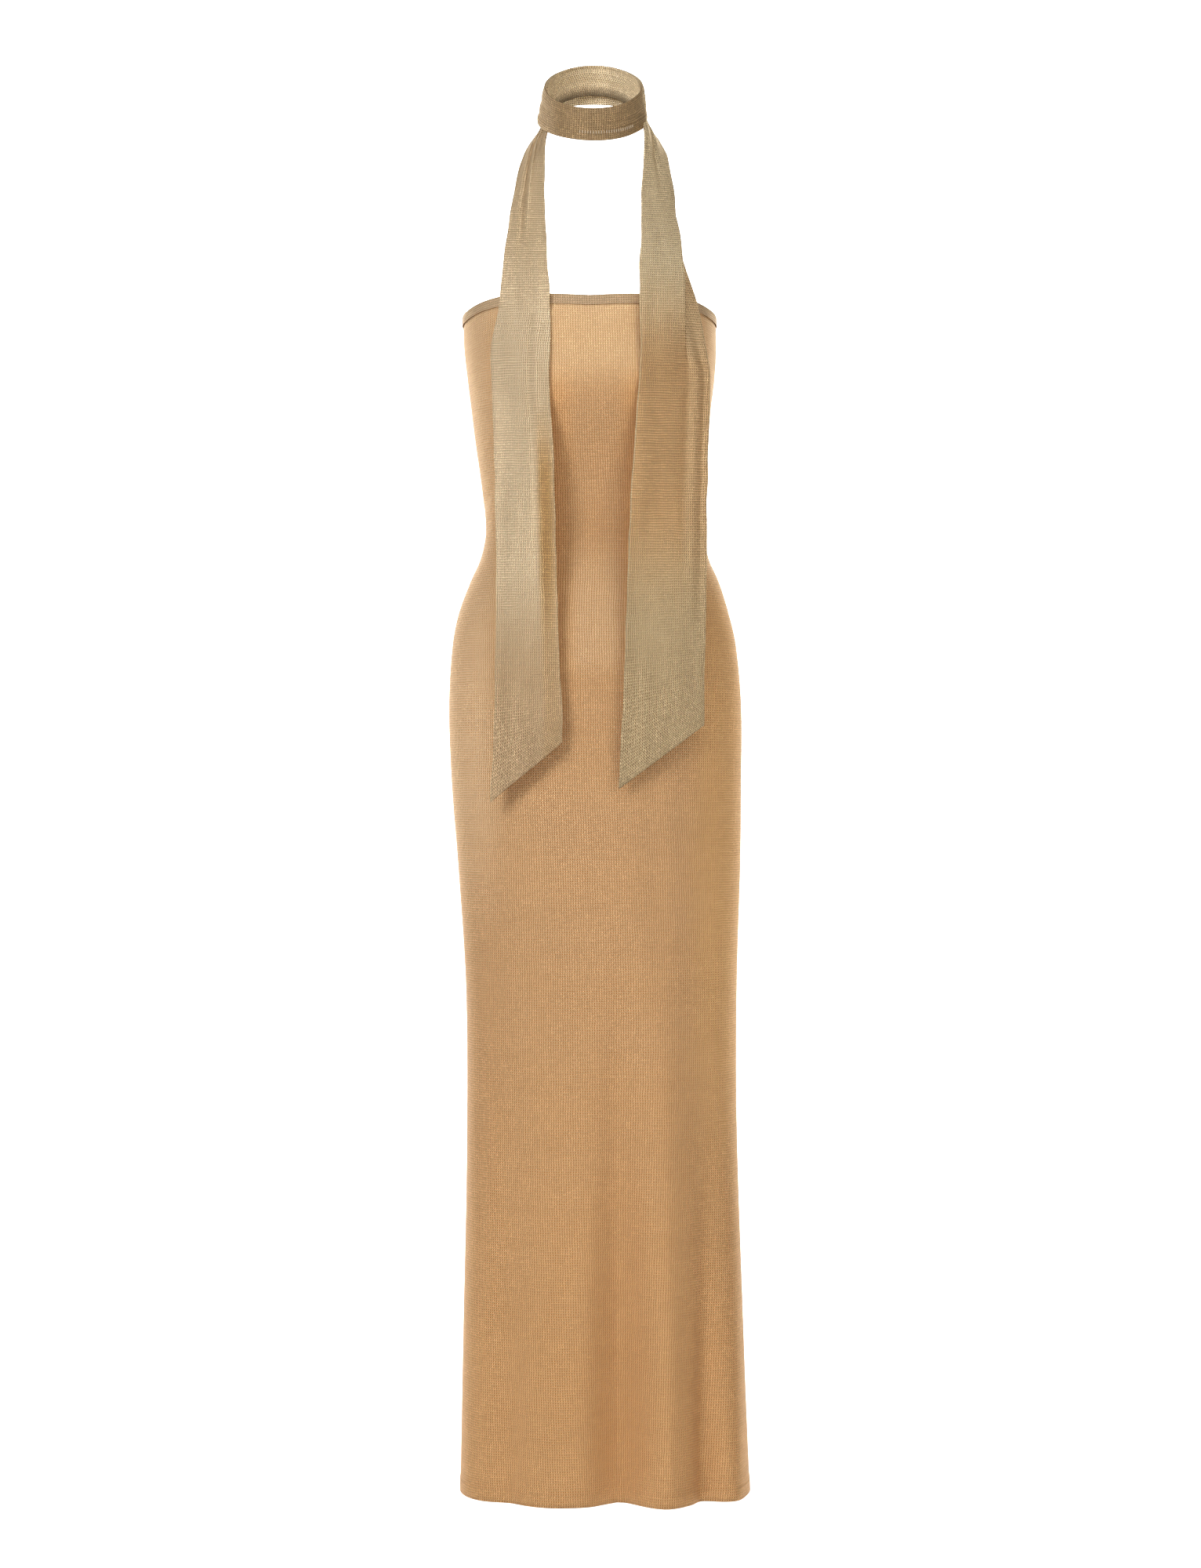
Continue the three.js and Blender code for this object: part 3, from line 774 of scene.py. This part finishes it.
def knit_colour(nodes, pattern, yarn, hole_colour, hole_depth, groove, glint):
    """Yarn with painted shade in its grooves and between its rows, and painted glints that make
    some threads paler, with holes in between."""
    height, hole, per_leg, row = pattern
    grooves = nodes.math("MULTIPLY_ADD", nodes.step(height, 0.1, 0.75), groove, 1 - groove)
    between = ROW_SHADE_SHARE * groove
    rows = nodes.math("MULTIPLY_ADD", row, between, 1 - between)
    glints = nodes.math("MULTIPLY", nodes.step(height, 0.55, 0.95), nodes.math("POWER", per_leg, 2))
    shade = nodes.math("MULTIPLY", grooves, rows)
    shade = nodes.math("MULTIPLY", shade, nodes.math("MULTIPLY_ADD", glints, glint, 1))
    colour = nodes.times(yarn, shade)
    return nodes.blend(nodes.math("MULTIPLY", hole, hole_depth), colour, hole_colour)


def dress_knit():
    """Knit over a peach lining. The bust facing and the inner brief lighten what shows through,
    and the yarn's tone changes slowly over the dress. Painted light and shade are in its colour
    too: painted shade, warmer towards the hem, on the right side and beside the tails, and a
    painted sheen at the sides. Places are in metres."""
    nodes = Nodes("dress_knit")
    pattern = stitch_pattern(nodes, WALE, COURSE, STEEP_SLANT)
    x, depth, level = place_of(nodes)
    from_middle = nodes.math("ABSOLUTE", nodes.math("SUBTRACT", x, 0.003))
    in_front = nodes.step(depth, 0.02, -0.03)
    middle = nodes.math("MULTIPLY", nodes.step(from_middle, 0.105, 0.045), in_front)
    above_facing = nodes.step(level, (BUST_FACING_ENDS - 20) * MM, (BUST_FACING_ENDS + 26) * MM)
    above_brief = nodes.step(level, (INNER_BRIEF_ENDS - 14) * MM, (INNER_BRIEF_ENDS + 22) * MM)
    below_waist = nodes.step(level, -0.24, -0.33)
    brief = nodes.math("MULTIPLY", nodes.math("MULTIPLY", above_brief, below_waist), middle)
    # Painted shade: the yarn turns warmer towards the hem
    low = nodes.step(level, -0.55, -1.25)
    yarn = nodes.blend(low, linear(*DRESS_YARN), linear(*DRESS_LOW_SHADE_TINT))
    yarn = nodes.blend(brief, yarn, linear(*DRESS_YARN_OVER_BRIEF))
    # Painted shade: warmer yarn on the right side, which faces away from the key light
    right_side_shade_tint = nodes.math("MULTIPLY", nodes.step(x, 0.09, 0.135), nodes.step(level, -1.1, -0.7))
    yarn = nodes.blend(right_side_shade_tint, yarn, linear(*DRESS_RIGHT_SIDE_SHADE_TINT))
    # Painted sheen at the bodice's sides and down the left hip, where the key light grazes
    left_side_sheen = nodes.math("MULTIPLY", nodes.step(x, 0.0, -0.05), nodes.step(level, -0.75, -0.5))
    side_sheen_heights = nodes.math("MAXIMUM", nodes.step(level, -0.34, -0.26), left_side_sheen)
    painted_side_sheen = nodes.math("MULTIPLY", nodes.step(from_middle, 0.09, 0.135), side_sheen_heights)
    yarn = nodes.blend(painted_side_sheen, yarn, linear(*DRESS_SIDE_SHEEN_PAINTED))
    # Painted shade: the tails' shadows on the dress, tinted warmer and more orange
    tail_shadow_tint = nodes.step(from_middle, 0.015, 0.045)
    tail_shadow_tint = nodes.math("MULTIPLY", tail_shadow_tint, nodes.step(level, -0.5, -0.38))
    tail_shadow_tint = nodes.math("MULTIPLY", tail_shadow_tint, nodes.step(from_middle, 0.09, 0.06))
    tail_shadow_tint = nodes.math("MULTIPLY", tail_shadow_tint, in_front)
    yarn = nodes.blend(tail_shadow_tint, yarn, linear(*DRESS_TAIL_SHADOW_TINT))
    facing = nodes.math("MULTIPLY", above_facing, nodes.step(from_middle, 0.125, 0.085))
    yarn = nodes.blend(facing, yarn, linear(*DRESS_YARN_OVER_FACING))
    tone = nodes.math("MULTIPLY_ADD", clouds(nodes, (9, 9, 2.5)), 0.05, 0.975)
    bands = nodes.math("MULTIPLY_ADD", clouds(nodes, (3, 3, 40)), 0.035, 0.9825)
    yarn = nodes.times(yarn, nodes.math("MULTIPLY", tone, bands))
    yarn = nodes.times(yarn, grain(nodes, 3.2, 0.06))
    lining = nodes.blend(facing, linear(*LINING_THROUGH_KNIT), linear(*LINING_THROUGH_FACING))
    colour = knit_colour(nodes, pattern, yarn, lining, 1.0, DRESS_GROOVE_SHADE, DRESS_PAINTED_GLINT)
    return nodes.finish(colour, pattern[0], KNIT_RELIEF, KNIT_ROUGHNESS, KNIT_SHEEN, KNIT_METAL)


def left_tail_tones(nodes, level, share, yarn, openness):
    """Darker where it is gathered at the neck, partly the denser cloth and partly painted shade of
    its folds, and painted shade along the strip that is turned under.
    """
    # Partly the denser gathered cloth, partly painted shade of its folds
    gathered = nodes.step(level, -0.02, 0.09)
    yarn = nodes.blend(gathered, yarn, linear(*LEFT_ROOT_YARN_WITH_SHADE))
    low = nodes.step(level, -0.28, -0.42)
    yarn = nodes.blend(low, yarn, linear(*LEFT_LOW_YARN))
    # Painted shade along the strip that is turned under, fading out downwards
    strip = nodes.math("MULTIPLY", nodes.step(share, 0.33, 0.2), nodes.step(share, -0.15, 0.14))
    turned = nodes.math("MULTIPLY", strip, nodes.step(level, -0.1, -0.2))
    fades = nodes.math("MULTIPLY_ADD", nodes.step(level, -0.42, -0.27), 0.75, 0.25)
    turned = nodes.math("MULTIPLY", turned, fades)
    yarn = nodes.blend(turned, yarn, linear(*TURNED_STRIP_PAINTED_SHADE))
    return yarn, nodes.math("MULTIPLY_ADD", low, 0.25, openness)


def right_tail_tones(nodes, level, share, yarn, openness):
    """Paler above the dress and on the wing that comes out from under the pleat."""
    off_dress = nodes.step(level, -0.08, 0.05)
    yarn = nodes.blend(off_dress, yarn, linear(*RIGHT_ROOT_YARN))
    beyond = nodes.step(share, FLAT_FOLD + 0.02, FLAT_TUCK)
    beside = nodes.math("MULTIPLY", nodes.step(level, 0.07, 0.03), nodes.step(level, -0.1, -0.04))
    wing = nodes.math("MULTIPLY", beyond, beside)
    outer = nodes.math("MULTIPLY", beyond, nodes.step(level, 0.07, 0.03))
    outer = nodes.math("MAXIMUM", wing, nodes.math("MULTIPLY", outer, 0.5))
    yarn = nodes.blend(outer, yarn, linear(*RIGHT_WING_YARN))
    openness = nodes.math("MULTIPLY_ADD", wing, 0.4, openness)
    low = nodes.step(level, -0.22, -0.36)
    yarn = nodes.blend(low, yarn, linear(*RIGHT_LOW_YARN))
    return yarn, nodes.math("MULTIPLY_ADD", low, 0.25, openness)


def neck_tones(nodes, across, depth, share, yarn, hole):
    """Paler at its left, painted light where the key light falls, and paler behind, with painted
    shade where the inner back rolls under.
    """
    # Painted light: paler on the ring's left, where the key light falls
    yarn = nodes.blend(nodes.step(across, -0.036, -0.058), yarn, linear(*NECK_LEFT_PAINTED_LIGHT))
    behind = nodes.step(depth, -0.015, 0.02)
    yarn = nodes.blend(behind, yarn, linear(*NECK_BACK_YARN))
    hole = nodes.blend(behind, hole, linear(*NECK_BACK_HOLE_SHADE))
    inner_back = nodes.step(share_of(nodes, 0), 0.36, 0.3)
    # Painted shade where the inner back rolls under
    painted_roll_shade = nodes.math("MULTIPLY", inner_back, nodes.step(share, 0.6, 1.0))
    return nodes.times(yarn, nodes.math("MULTIPLY_ADD", painted_roll_shade, -0.8, 1)), hole


def scarf_knit(stretch, yarn_tone, hole_tone):
    """Unlined knit in two layers: what shows through its holes is painted shade, and they are more
    open in some places. The stretch is left, right or neck, and the neck's edges run along the
    other axis of its UV map."""
    nodes = Nodes(f"scarf_knit_{stretch}")
    pattern = stitch_pattern(nodes, SCARF_WALE, SCARF_COURSE, PLAIN_SLANT)
    across, depth, level = place_of(nodes)
    share = share_of(nodes, 1 if stretch == "neck" else 0)
    from_middle = nodes.math("MULTIPLY", nodes.math("SUBTRACT", share, 0.5), 2)
    # Along the edges: the seam's denser yarn, and on the tails a painted highlight on the rolled edge
    seam = nodes.step(nodes.math("ABSOLUTE", from_middle), 0.968, 0.99)
    seam = nodes.math("MULTIPLY", seam, nodes.step(level, 0.2, 0.17))
    openness = nodes.math("MULTIPLY_ADD", clouds(nodes, (34, 20, 7)), 0.45, 0.62)
    # Over the bust the knit is stretched more open, so more of the painted shade in its holes shows
    over_bust = nodes.math("MULTIPLY", nodes.step(level, 0.0, -0.04), nodes.step(level, -0.13, -0.07))
    openness = nodes.math("MULTIPLY_ADD", over_bust, 0.35, openness)
    yarn, hole = linear(*yarn_tone), linear(*hole_tone)
    if stretch == "neck":
        yarn, hole = neck_tones(nodes, across, depth, share, yarn, hole)
    else:
        tones = left_tail_tones if stretch == "left" else right_tail_tones
        yarn, openness = tones(nodes, level, share, yarn, openness)
        yarn = nodes.blend(seam, yarn, linear(*SCARF_SEAM_WITH_HIGHLIGHT))
    openness = nodes.math("MULTIPLY", openness, nodes.math("MULTIPLY_ADD", seam, -0.8, 1))
    openness = nodes.math("MINIMUM", openness, 1.0)
    tone = nodes.math("MULTIPLY_ADD", clouds(nodes, (70, 20, 5)), 0.16, 0.92)
    yarn = nodes.times(yarn, nodes.math("MULTIPLY", tone, grain(nodes, 3.4, 0.13)))
    colour = knit_colour(nodes, pattern, yarn, hole, openness, SCARF_GROOVE_SHADE, SCARF_PAINTED_GLINT)
    roughness = NECK_ROUGHNESS if stretch == "neck" else KNIT_ROUGHNESS
    return nodes.finish(colour, pattern[0], KNIT_RELIEF, roughness, KNIT_SHEEN, KNIT_METAL)


def edge_knit():
    """The unlined strip along the top edge."""
    nodes = Nodes("edge_knit")
    pattern = stitch_pattern(nodes, WALE, COURSE, PLAIN_SLANT)
    yarn = nodes.times(linear(*EDGE_YARN), grain(nodes, 3.2, 0.1))
    hole = linear(*EDGE_HOLE)
    colour = knit_colour(nodes, pattern, yarn, hole, EDGE_OPENNESS, EDGE_GROOVE_SHADE, EDGE_PAINTED_GLINT)
    return nodes.finish(colour, pattern[0], KNIT_RELIEF, KNIT_ROUGHNESS, KNIT_SHEEN, KNIT_METAL)


def lining_tricot():
    """The smooth peach lining on the dress's inner side."""
    nodes = Nodes("lining_tricot")
    pattern = stitch_pattern(nodes, LINING_WALE, LINING_COURSE, PLAIN_SLANT)
    yarn, hole = linear(*LINING), linear(*LINING_HOLE)
    colour = knit_colour(nodes, pattern, yarn, hole, LINING_OPENNESS, LINING_GROOVE_SHADE, LINING_PAINTED_GLINT)
    return nodes.finish(colour, pattern[0], LINING_RELIEF, LINING_ROUGHNESS, SMOOTH_SHEEN, 0.0)


def sewing_thread(name, tone, dark_tone):
    nodes = Nodes(name)
    place = nodes.add("ShaderNodeTexCoord")
    ply = nodes.add("ShaderNodeTexWave", bands_direction="DIAGONAL")
    ply.inputs["Scale"].default_value = THREAD_PLIES
    nodes.link(place.outputs["Object"], ply.inputs["Vector"])
    colour = nodes.blend(ply.outputs["Fac"], linear(*dark_tone), linear(*tone))
    relief = ply.outputs["Fac"]
    return nodes.finish(colour, relief, THREAD_RELIEF, THREAD_ROUGHNESS, SMOOTH_SHEEN, 0.0)


# Pieces

def attach(piece, node, materials):
    for material in materials:
        piece.data.materials.append(material)
    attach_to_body(piece, "root")
    if node:
        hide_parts(node)
    return piece


def panel_share(side, across):
    return across if side == "front" else 1 - across


def dress_panel(side, materials):
    def place(across, along):
        height = mix(PANEL_TOP, HEM_LEVEL, along)
        under_binding = UNDER_BINDING * ease((height + BINDING_HEIGHT + 0.2) / 2.4)
        hem = HEM_RISE * ease((HEM_LEVEL + HEM_TURN + 1 - height) / 2)
        return dress_point(side, panel_share(side, across), height, under_binding + hem)

    piece = cloth_grid(f"dress_{side}_panel", *PANEL_GRID, place)
    thicken(piece, DRESS_WALL, -1, lining=True)
    return attach(piece, f"dress_{side}", materials)


def binding(side, materials):
    """A strip of knit folded over the top edge, outside to inside."""
    def place(across, along):
        down = abs(2 * along - 1)
        inside = along > 0.5
        over = 1
        if down < BINDING_ROLL:
            over = math.sqrt(clamp01(1 - (1 - down / BINDING_ROLL) ** 2))
        out = -DRESS_WALL / 2 + (BINDING_INSIDE if inside else BINDING_OUTSIDE) * over
        height = -down * (BINDING_HEIGHT + BINDING_FACING if inside else BINDING_HEIGHT)
        return dress_point(side, panel_share(side, across), height, out)

    piece = cloth_grid(f"neckline_binding_{side}_fold", *BINDING_GRID, place)
    thicken(piece, BINDING_WALL, -1)
    return attach(piece, f"neckline_binding_{side}", materials)


def spiral_angle(turn, share):
    """The angle at a share of the spiral's way: behind as the inner layer, round the front, and
    behind again as the outer layer. Its ends are cut aslant, where the tails leave."""
    start = mix(*LEFT_ROOT_ANGLES, share)
    end = mix(*RIGHT_ROOT_ANGLES, share) - 360
    return mix(start, end, turn)


def neck_relief(angle, share):
    """Soft folds of the band. Those in front run together at its right end."""
    relief = 0
    for near, far, width, rise in FRONT_PLEATS:
        way = clamp01((FRONT_BAND_RIGHT_END - angle) / 150)
        fades = ease((FRONT_BAND_RIGHT_END + 8 - angle) / 12) * ease((angle + 215) / 30)
        relief += fades * rise * bump(share - mix(near, far, way), width * (0.45 + 0.75 * way))
    for place, drift, width, rise in BACK_PLEATS:
        behind = max(0, math.sin(math.radians(angle))) ** 0.7
        relief += behind * rise * bump(share - place - drift * math.cos(math.radians(angle)), width)
    return relief


def spiral_point(turn, share):
    angle = spiral_angle(turn, share)
    inner = 1 - ease((FRONT_BAND_RIGHT_END + 10 - angle) / 150)
    outer_end = ease((OUTER_END_BEGINS - angle) / OUTER_END_LENGTH)
    inner -= OUTER_END_STANDS_OUT * outer_end
    sine = math.sin(math.radians(angle))
    lift = INNER_BACK_IS_HIGHER_BY * max(0, sine) ** 2 * (1 if angle > 0 else 0)
    rolled = EDGE_ROLL * (bump(share, EDGE_ROLL_WIDTH) + bump(1 - share, EDGE_ROLL_WIDTH))
    lean = mix(LEAN_OUT_BELOW, -LEAN_IN_ABOVE, share)
    wave = NECK_WAVE * noise.noise(Vector((angle * 0.03, share * 2, 3.5)))
    rise, place, width = RIGHT_BULGE
    bulge = rise * bump(angle - place, width) * (1 - 0.5 * share)
    bulge -= LOWER_EDGE_FLARE * (1 - share) ** 2 * outer_end
    out = neck_relief(angle, share) + rolled + lean + wave + bulge
    return neck_point(angle, share, inner, lift, out)


def neck_spiral(materials, ladder):
    """The scarf's stretch round the neck, once and a half. Its ladder argument, the row of stretched
    stitches, is not used.
    """

    def place(across, along):
        return spiral_point(across, 1 - along)

    piece = cloth_grid("scarf_round_neck", *NECK_GRID, place, flip=True, turned=True)
    thicken(piece, SCARF_WALL, 0, rounded=True)
    attach(piece, "scarf_neck_front", materials)
    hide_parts("scarf_neck_back_inner", "scarf_neck_back_outer")


def ladder_stitches(materials):
    """The row of stretched stitches along the front band's lower fold."""
    spots = []
    for index in range(LADDER_COUNT):
        angle = mix(*LADDER_ANGLES, index / (LADDER_COUNT - 1))
        turn = (LEFT_ROOT_ANGLES[0] - angle) / SPIRAL_TURN
        low = spiral_point(turn, LADDER_SHARE - LADDER_HALF_HEIGHT)
        high = spiral_point(turn, LADDER_SHARE + LADDER_HALF_HEIGHT)
        out = Vector((low.x - NECK_MIDDLE, low.y, 0)).normalized()
        out *= SCARF_WALL / 2 + LADDER_STANDS_OUT
        spots.append((low + out, high + out))
    return stitch_row("scarf_neck_ladder", spots, *LADDER_THREAD_SIZE, "scarf_knit", materials)


def pleated_place(share, section):
    stops = [
        (0, 0, 0),
        (FLAT_FOLD, section["fold"], 0),
        (FLAT_TUCK, section["tuck"], section["pleat"]),
        (1, section["end"], 2 * section["pleat"]),
    ]
    upper = next(i for i in range(1, 4) if stops[i][0] >= share or i == 3)
    start, end = stops[upper - 1], stops[upper]
    t = (share - start[0]) / (end[0] - start[0])
    return mix(start[1], end[1], t), mix(start[2], end[2], t)


def edge_wave(height, seed):
    """How far a tail's edge wanders, in mm."""
    wander = noise.noise(Vector((height * 0.035, seed, 0)))
    return TAIL_EDGE_WAVE * wander * ease((EDGE_WAVES_BELOW - height) / EDGE_WAVES_OVER)


def tail_point(sections, creases, share, along):
    row = smooth_row(sections, along * sections[-1][-1], key=len(TAIL_COLUMNS))
    section = dict(zip(TAIL_COLUMNS, row))
    place, layers = pleated_place(share, section)
    x = mix(section["inner_x"], section["outer_x"], place)
    z = mix(section["inner_height"], section["outer_height"], place)
    inward_turn = section["turn"] * (1 - ease(share / INNER_STRIP_SHARE))
    x += mix(edge_wave(z, 0.5), edge_wave(z, 7.5), place)
    crown = TAIL_CROWN * math.sin(math.pi * clamp01(place))
    hanging = mix(section["inner_depth"], section["outer_depth"], place) + crown - inward_turn
    opened = ease((PLEAT_OPENS_BELOW - z) / PLEAT_OPENS_OVER)
    hanging += 2 * section["pleat"] * PLEAT_STEP * opened
    resting = dress_front_depth(x, z, TAIL_CLEARANCE + SCARF_WALL / 2)
    resting += 2 * section["pleat"] * PLEAT_STEP
    rise = 0
    for near, far, begins, ends, width, height in creases:
        t = (along - begins) / (ends - begins)
        if 0 < t < 1:
            rise += height * math.sin(math.pi * t) ** 0.7 * bump(share - mix(near, far, t), width)
    return Vector((x, -(max(hanging, resting) - layers * PLEAT_STEP + rise), z))


def tail_piece(name, root, table, creases, flip, materials):
    """A hanging end, from the spiral's end at root, 0 or 1, to its cut."""
    sections = [(*row, index) for index, row in enumerate(table, start=1)]

    def place(across, along):
        at = along * len(table)
        if at >= 1:
            return tail_point(sections, creases, across, along)
        first = tail_point(sections, creases, across, 1 / len(table))
        return spiral_point(root, 1 - across).lerp(first, at)

    piece = cloth_grid(f"{name}_cloth", *TAIL_GRID, place, flip)
    thicken(piece, SCARF_WALL, 0, rounded=True)
    return attach(piece, name, materials)


def stitch_row(name, spots, thick, raised, slot, materials):
    """Small stitches, each between two points, as wide and as high as given, in mm."""
    stitches = bmesh.new()
    for start, end in spots:
        made = bmesh.ops.create_icosphere(stitches, subdivisions=1, radius=0.5)["verts"]
        bmesh.ops.scale(stitches, verts=made, vec=((end - start).length, thick, raised))
        turn = Vector((1, 0, 0)).rotation_difference(end - start).to_matrix()
        bmesh.ops.rotate(stitches, verts=made, cent=(0, 0, 0), matrix=turn)
        bmesh.ops.translate(stitches, verts=made, vec=(start + end) / 2)
    bmesh.ops.scale(stitches, verts=stitches.verts, vec=(MM, MM, MM))
    for face in stitches.faces:
        face.smooth = True
    return attach(as_object(name, stitches), None, materials)


def hem_stitches(side, materials):
    """The row that holds the hem's turn."""
    spots = []
    for index in range(HEM_STITCHES):
        middle = (index + 0.5) / HEM_STITCHES
        half = HEM_STITCH_HALF / HEM_STITCHES
        spots.append([
            dress_point(side, middle + end, HEM_LEVEL + HEM_TURN - HEM_ROW_BELOW_TURN, HEM_RISE + 0.1)
            for end in (-half, half)
        ])
    return stitch_row(f"hem_stitching_{side}", spots, *HEM_THREAD_SIZE, "dress_knit", materials)


def build_dress():
    knit, edge, lining = dress_knit(), edge_knit(), lining_tricot()
    thread = sewing_thread("hem_thread", HEM_THREAD, HEM_THREAD_DARK)
    for side in ("front", "back"):
        panel = dress_panel(side, [knit, lining])
        edging = binding(side, [edge])
        stitching = hem_stitches(side, [thread])


def build_scarf():
    neck = scarf_knit("neck", NECK_FRONT_YARN, NECK_HOLE_SHADE)
    left = scarf_knit("left", LEFT_TAIL_YARN, SCARF_HOLE_SHADE)
    right = scarf_knit("right", RIGHT_TAIL_YARN, SCARF_HOLE_SHADE)
    ladder = sewing_thread("ladder_thread", LADDER_THREAD, LADDER_THREAD_DARK)
    neck_spiral([neck], ladder_stitches([ladder]))
    tail_piece("scarf_tail_left", 0, LEFT_TAIL, LEFT_TAIL_CREASES, True, [left])
    tail_piece("scarf_tail_right", 1, RIGHT_TAIL, RIGHT_TAIL_CREASES, False, [right])


# Floor, light and camera

def backdrop():
    """A pale floor that bends up into a wall behind."""
    sweep = bmesh.new()
    near, far, bend = BACKDROP["near"], BACKDROP["far"], BACKDROP["bend"]
    profile = [(near, FLOOR_LEVEL), (far - bend, FLOOR_LEVEL)]
    for step in range(1, BEND_STEPS + 1):
        turn = math.pi / 2 * step / BEND_STEPS
        profile.append((
            far - bend + bend * math.sin(turn),
            FLOOR_LEVEL + bend * (1 - math.cos(turn)),
        ))
    profile.append((far, BACKDROP["height"]))
    line = [sweep.verts.new((-BACKDROP["half_width"], y, z)) for y, z in profile]
    edges = [sweep.edges.new(pair) for pair in zip(line, line[1:])]
    pulled = bmesh.ops.extrude_edge_only(sweep, edges=edges)["geom"]
    moved = [v for v in pulled if isinstance(v, bmesh.types.BMVert)]
    bmesh.ops.translate(sweep, verts=moved, vec=(2 * BACKDROP["half_width"], 0, 0))
    bmesh.ops.recalc_face_normals(sweep, faces=sweep.faces)
    for face in sweep.faces:
        face.smooth = True
    floor = as_object("studio_floor", sweep)
    paper = bpy.data.materials.new("pale_paper")
    paper.use_nodes = True
    shader = paper.node_tree.nodes["Principled BSDF"]
    shader.inputs["Base Color"].default_value = PALE_PAPER
    shader.inputs["Roughness"].default_value = PAPER_ROUGHNESS
    floor.data.materials.append(paper)


def soft_light(name, place, target, size, power, colour):
    data = bpy.data.lights.new(name, "AREA")
    data.shape = "RECTANGLE"
    data.size, data.size_y = size
    data.energy = power
    data.color = colour
    light = bpy.data.objects.new(name, data)
    light.location = place
    light.rotation_euler = (Vector(target) - Vector(place)).to_track_quat("-Z", "Y").to_euler()
    bpy.context.collection.objects.link(light)


def build_studio():
    backdrop()
    for light in LIGHTS:
        soft_light(*light)
    world = bpy.data.worlds.new("studio")
    world.use_nodes = True
    world.node_tree.nodes["Background"].inputs[0].default_value = ROOM_LIGHT
    world.node_tree.nodes["Background"].inputs[1].default_value = ROOM_STRENGTH
    bpy.context.scene.world = world
    bpy.context.scene.view_settings.view_transform = "Standard"

    data = bpy.data.cameras.new("camera")
    data.sensor_fit = "VERTICAL"
    data.sensor_height = CAMERA_FILM
    data.sensor_width = CAMERA_FILM
    data.lens = CAMERA_LENS
    camera = bpy.data.objects.new("camera", data)
    camera.location = CAMERA_PLACE
    camera.rotation_euler = (math.pi / 2, 0, 0)
    bpy.context.collection.objects.link(camera)
    bpy.context.scene.camera = camera


build_dress()
build_scarf()
build_studio()
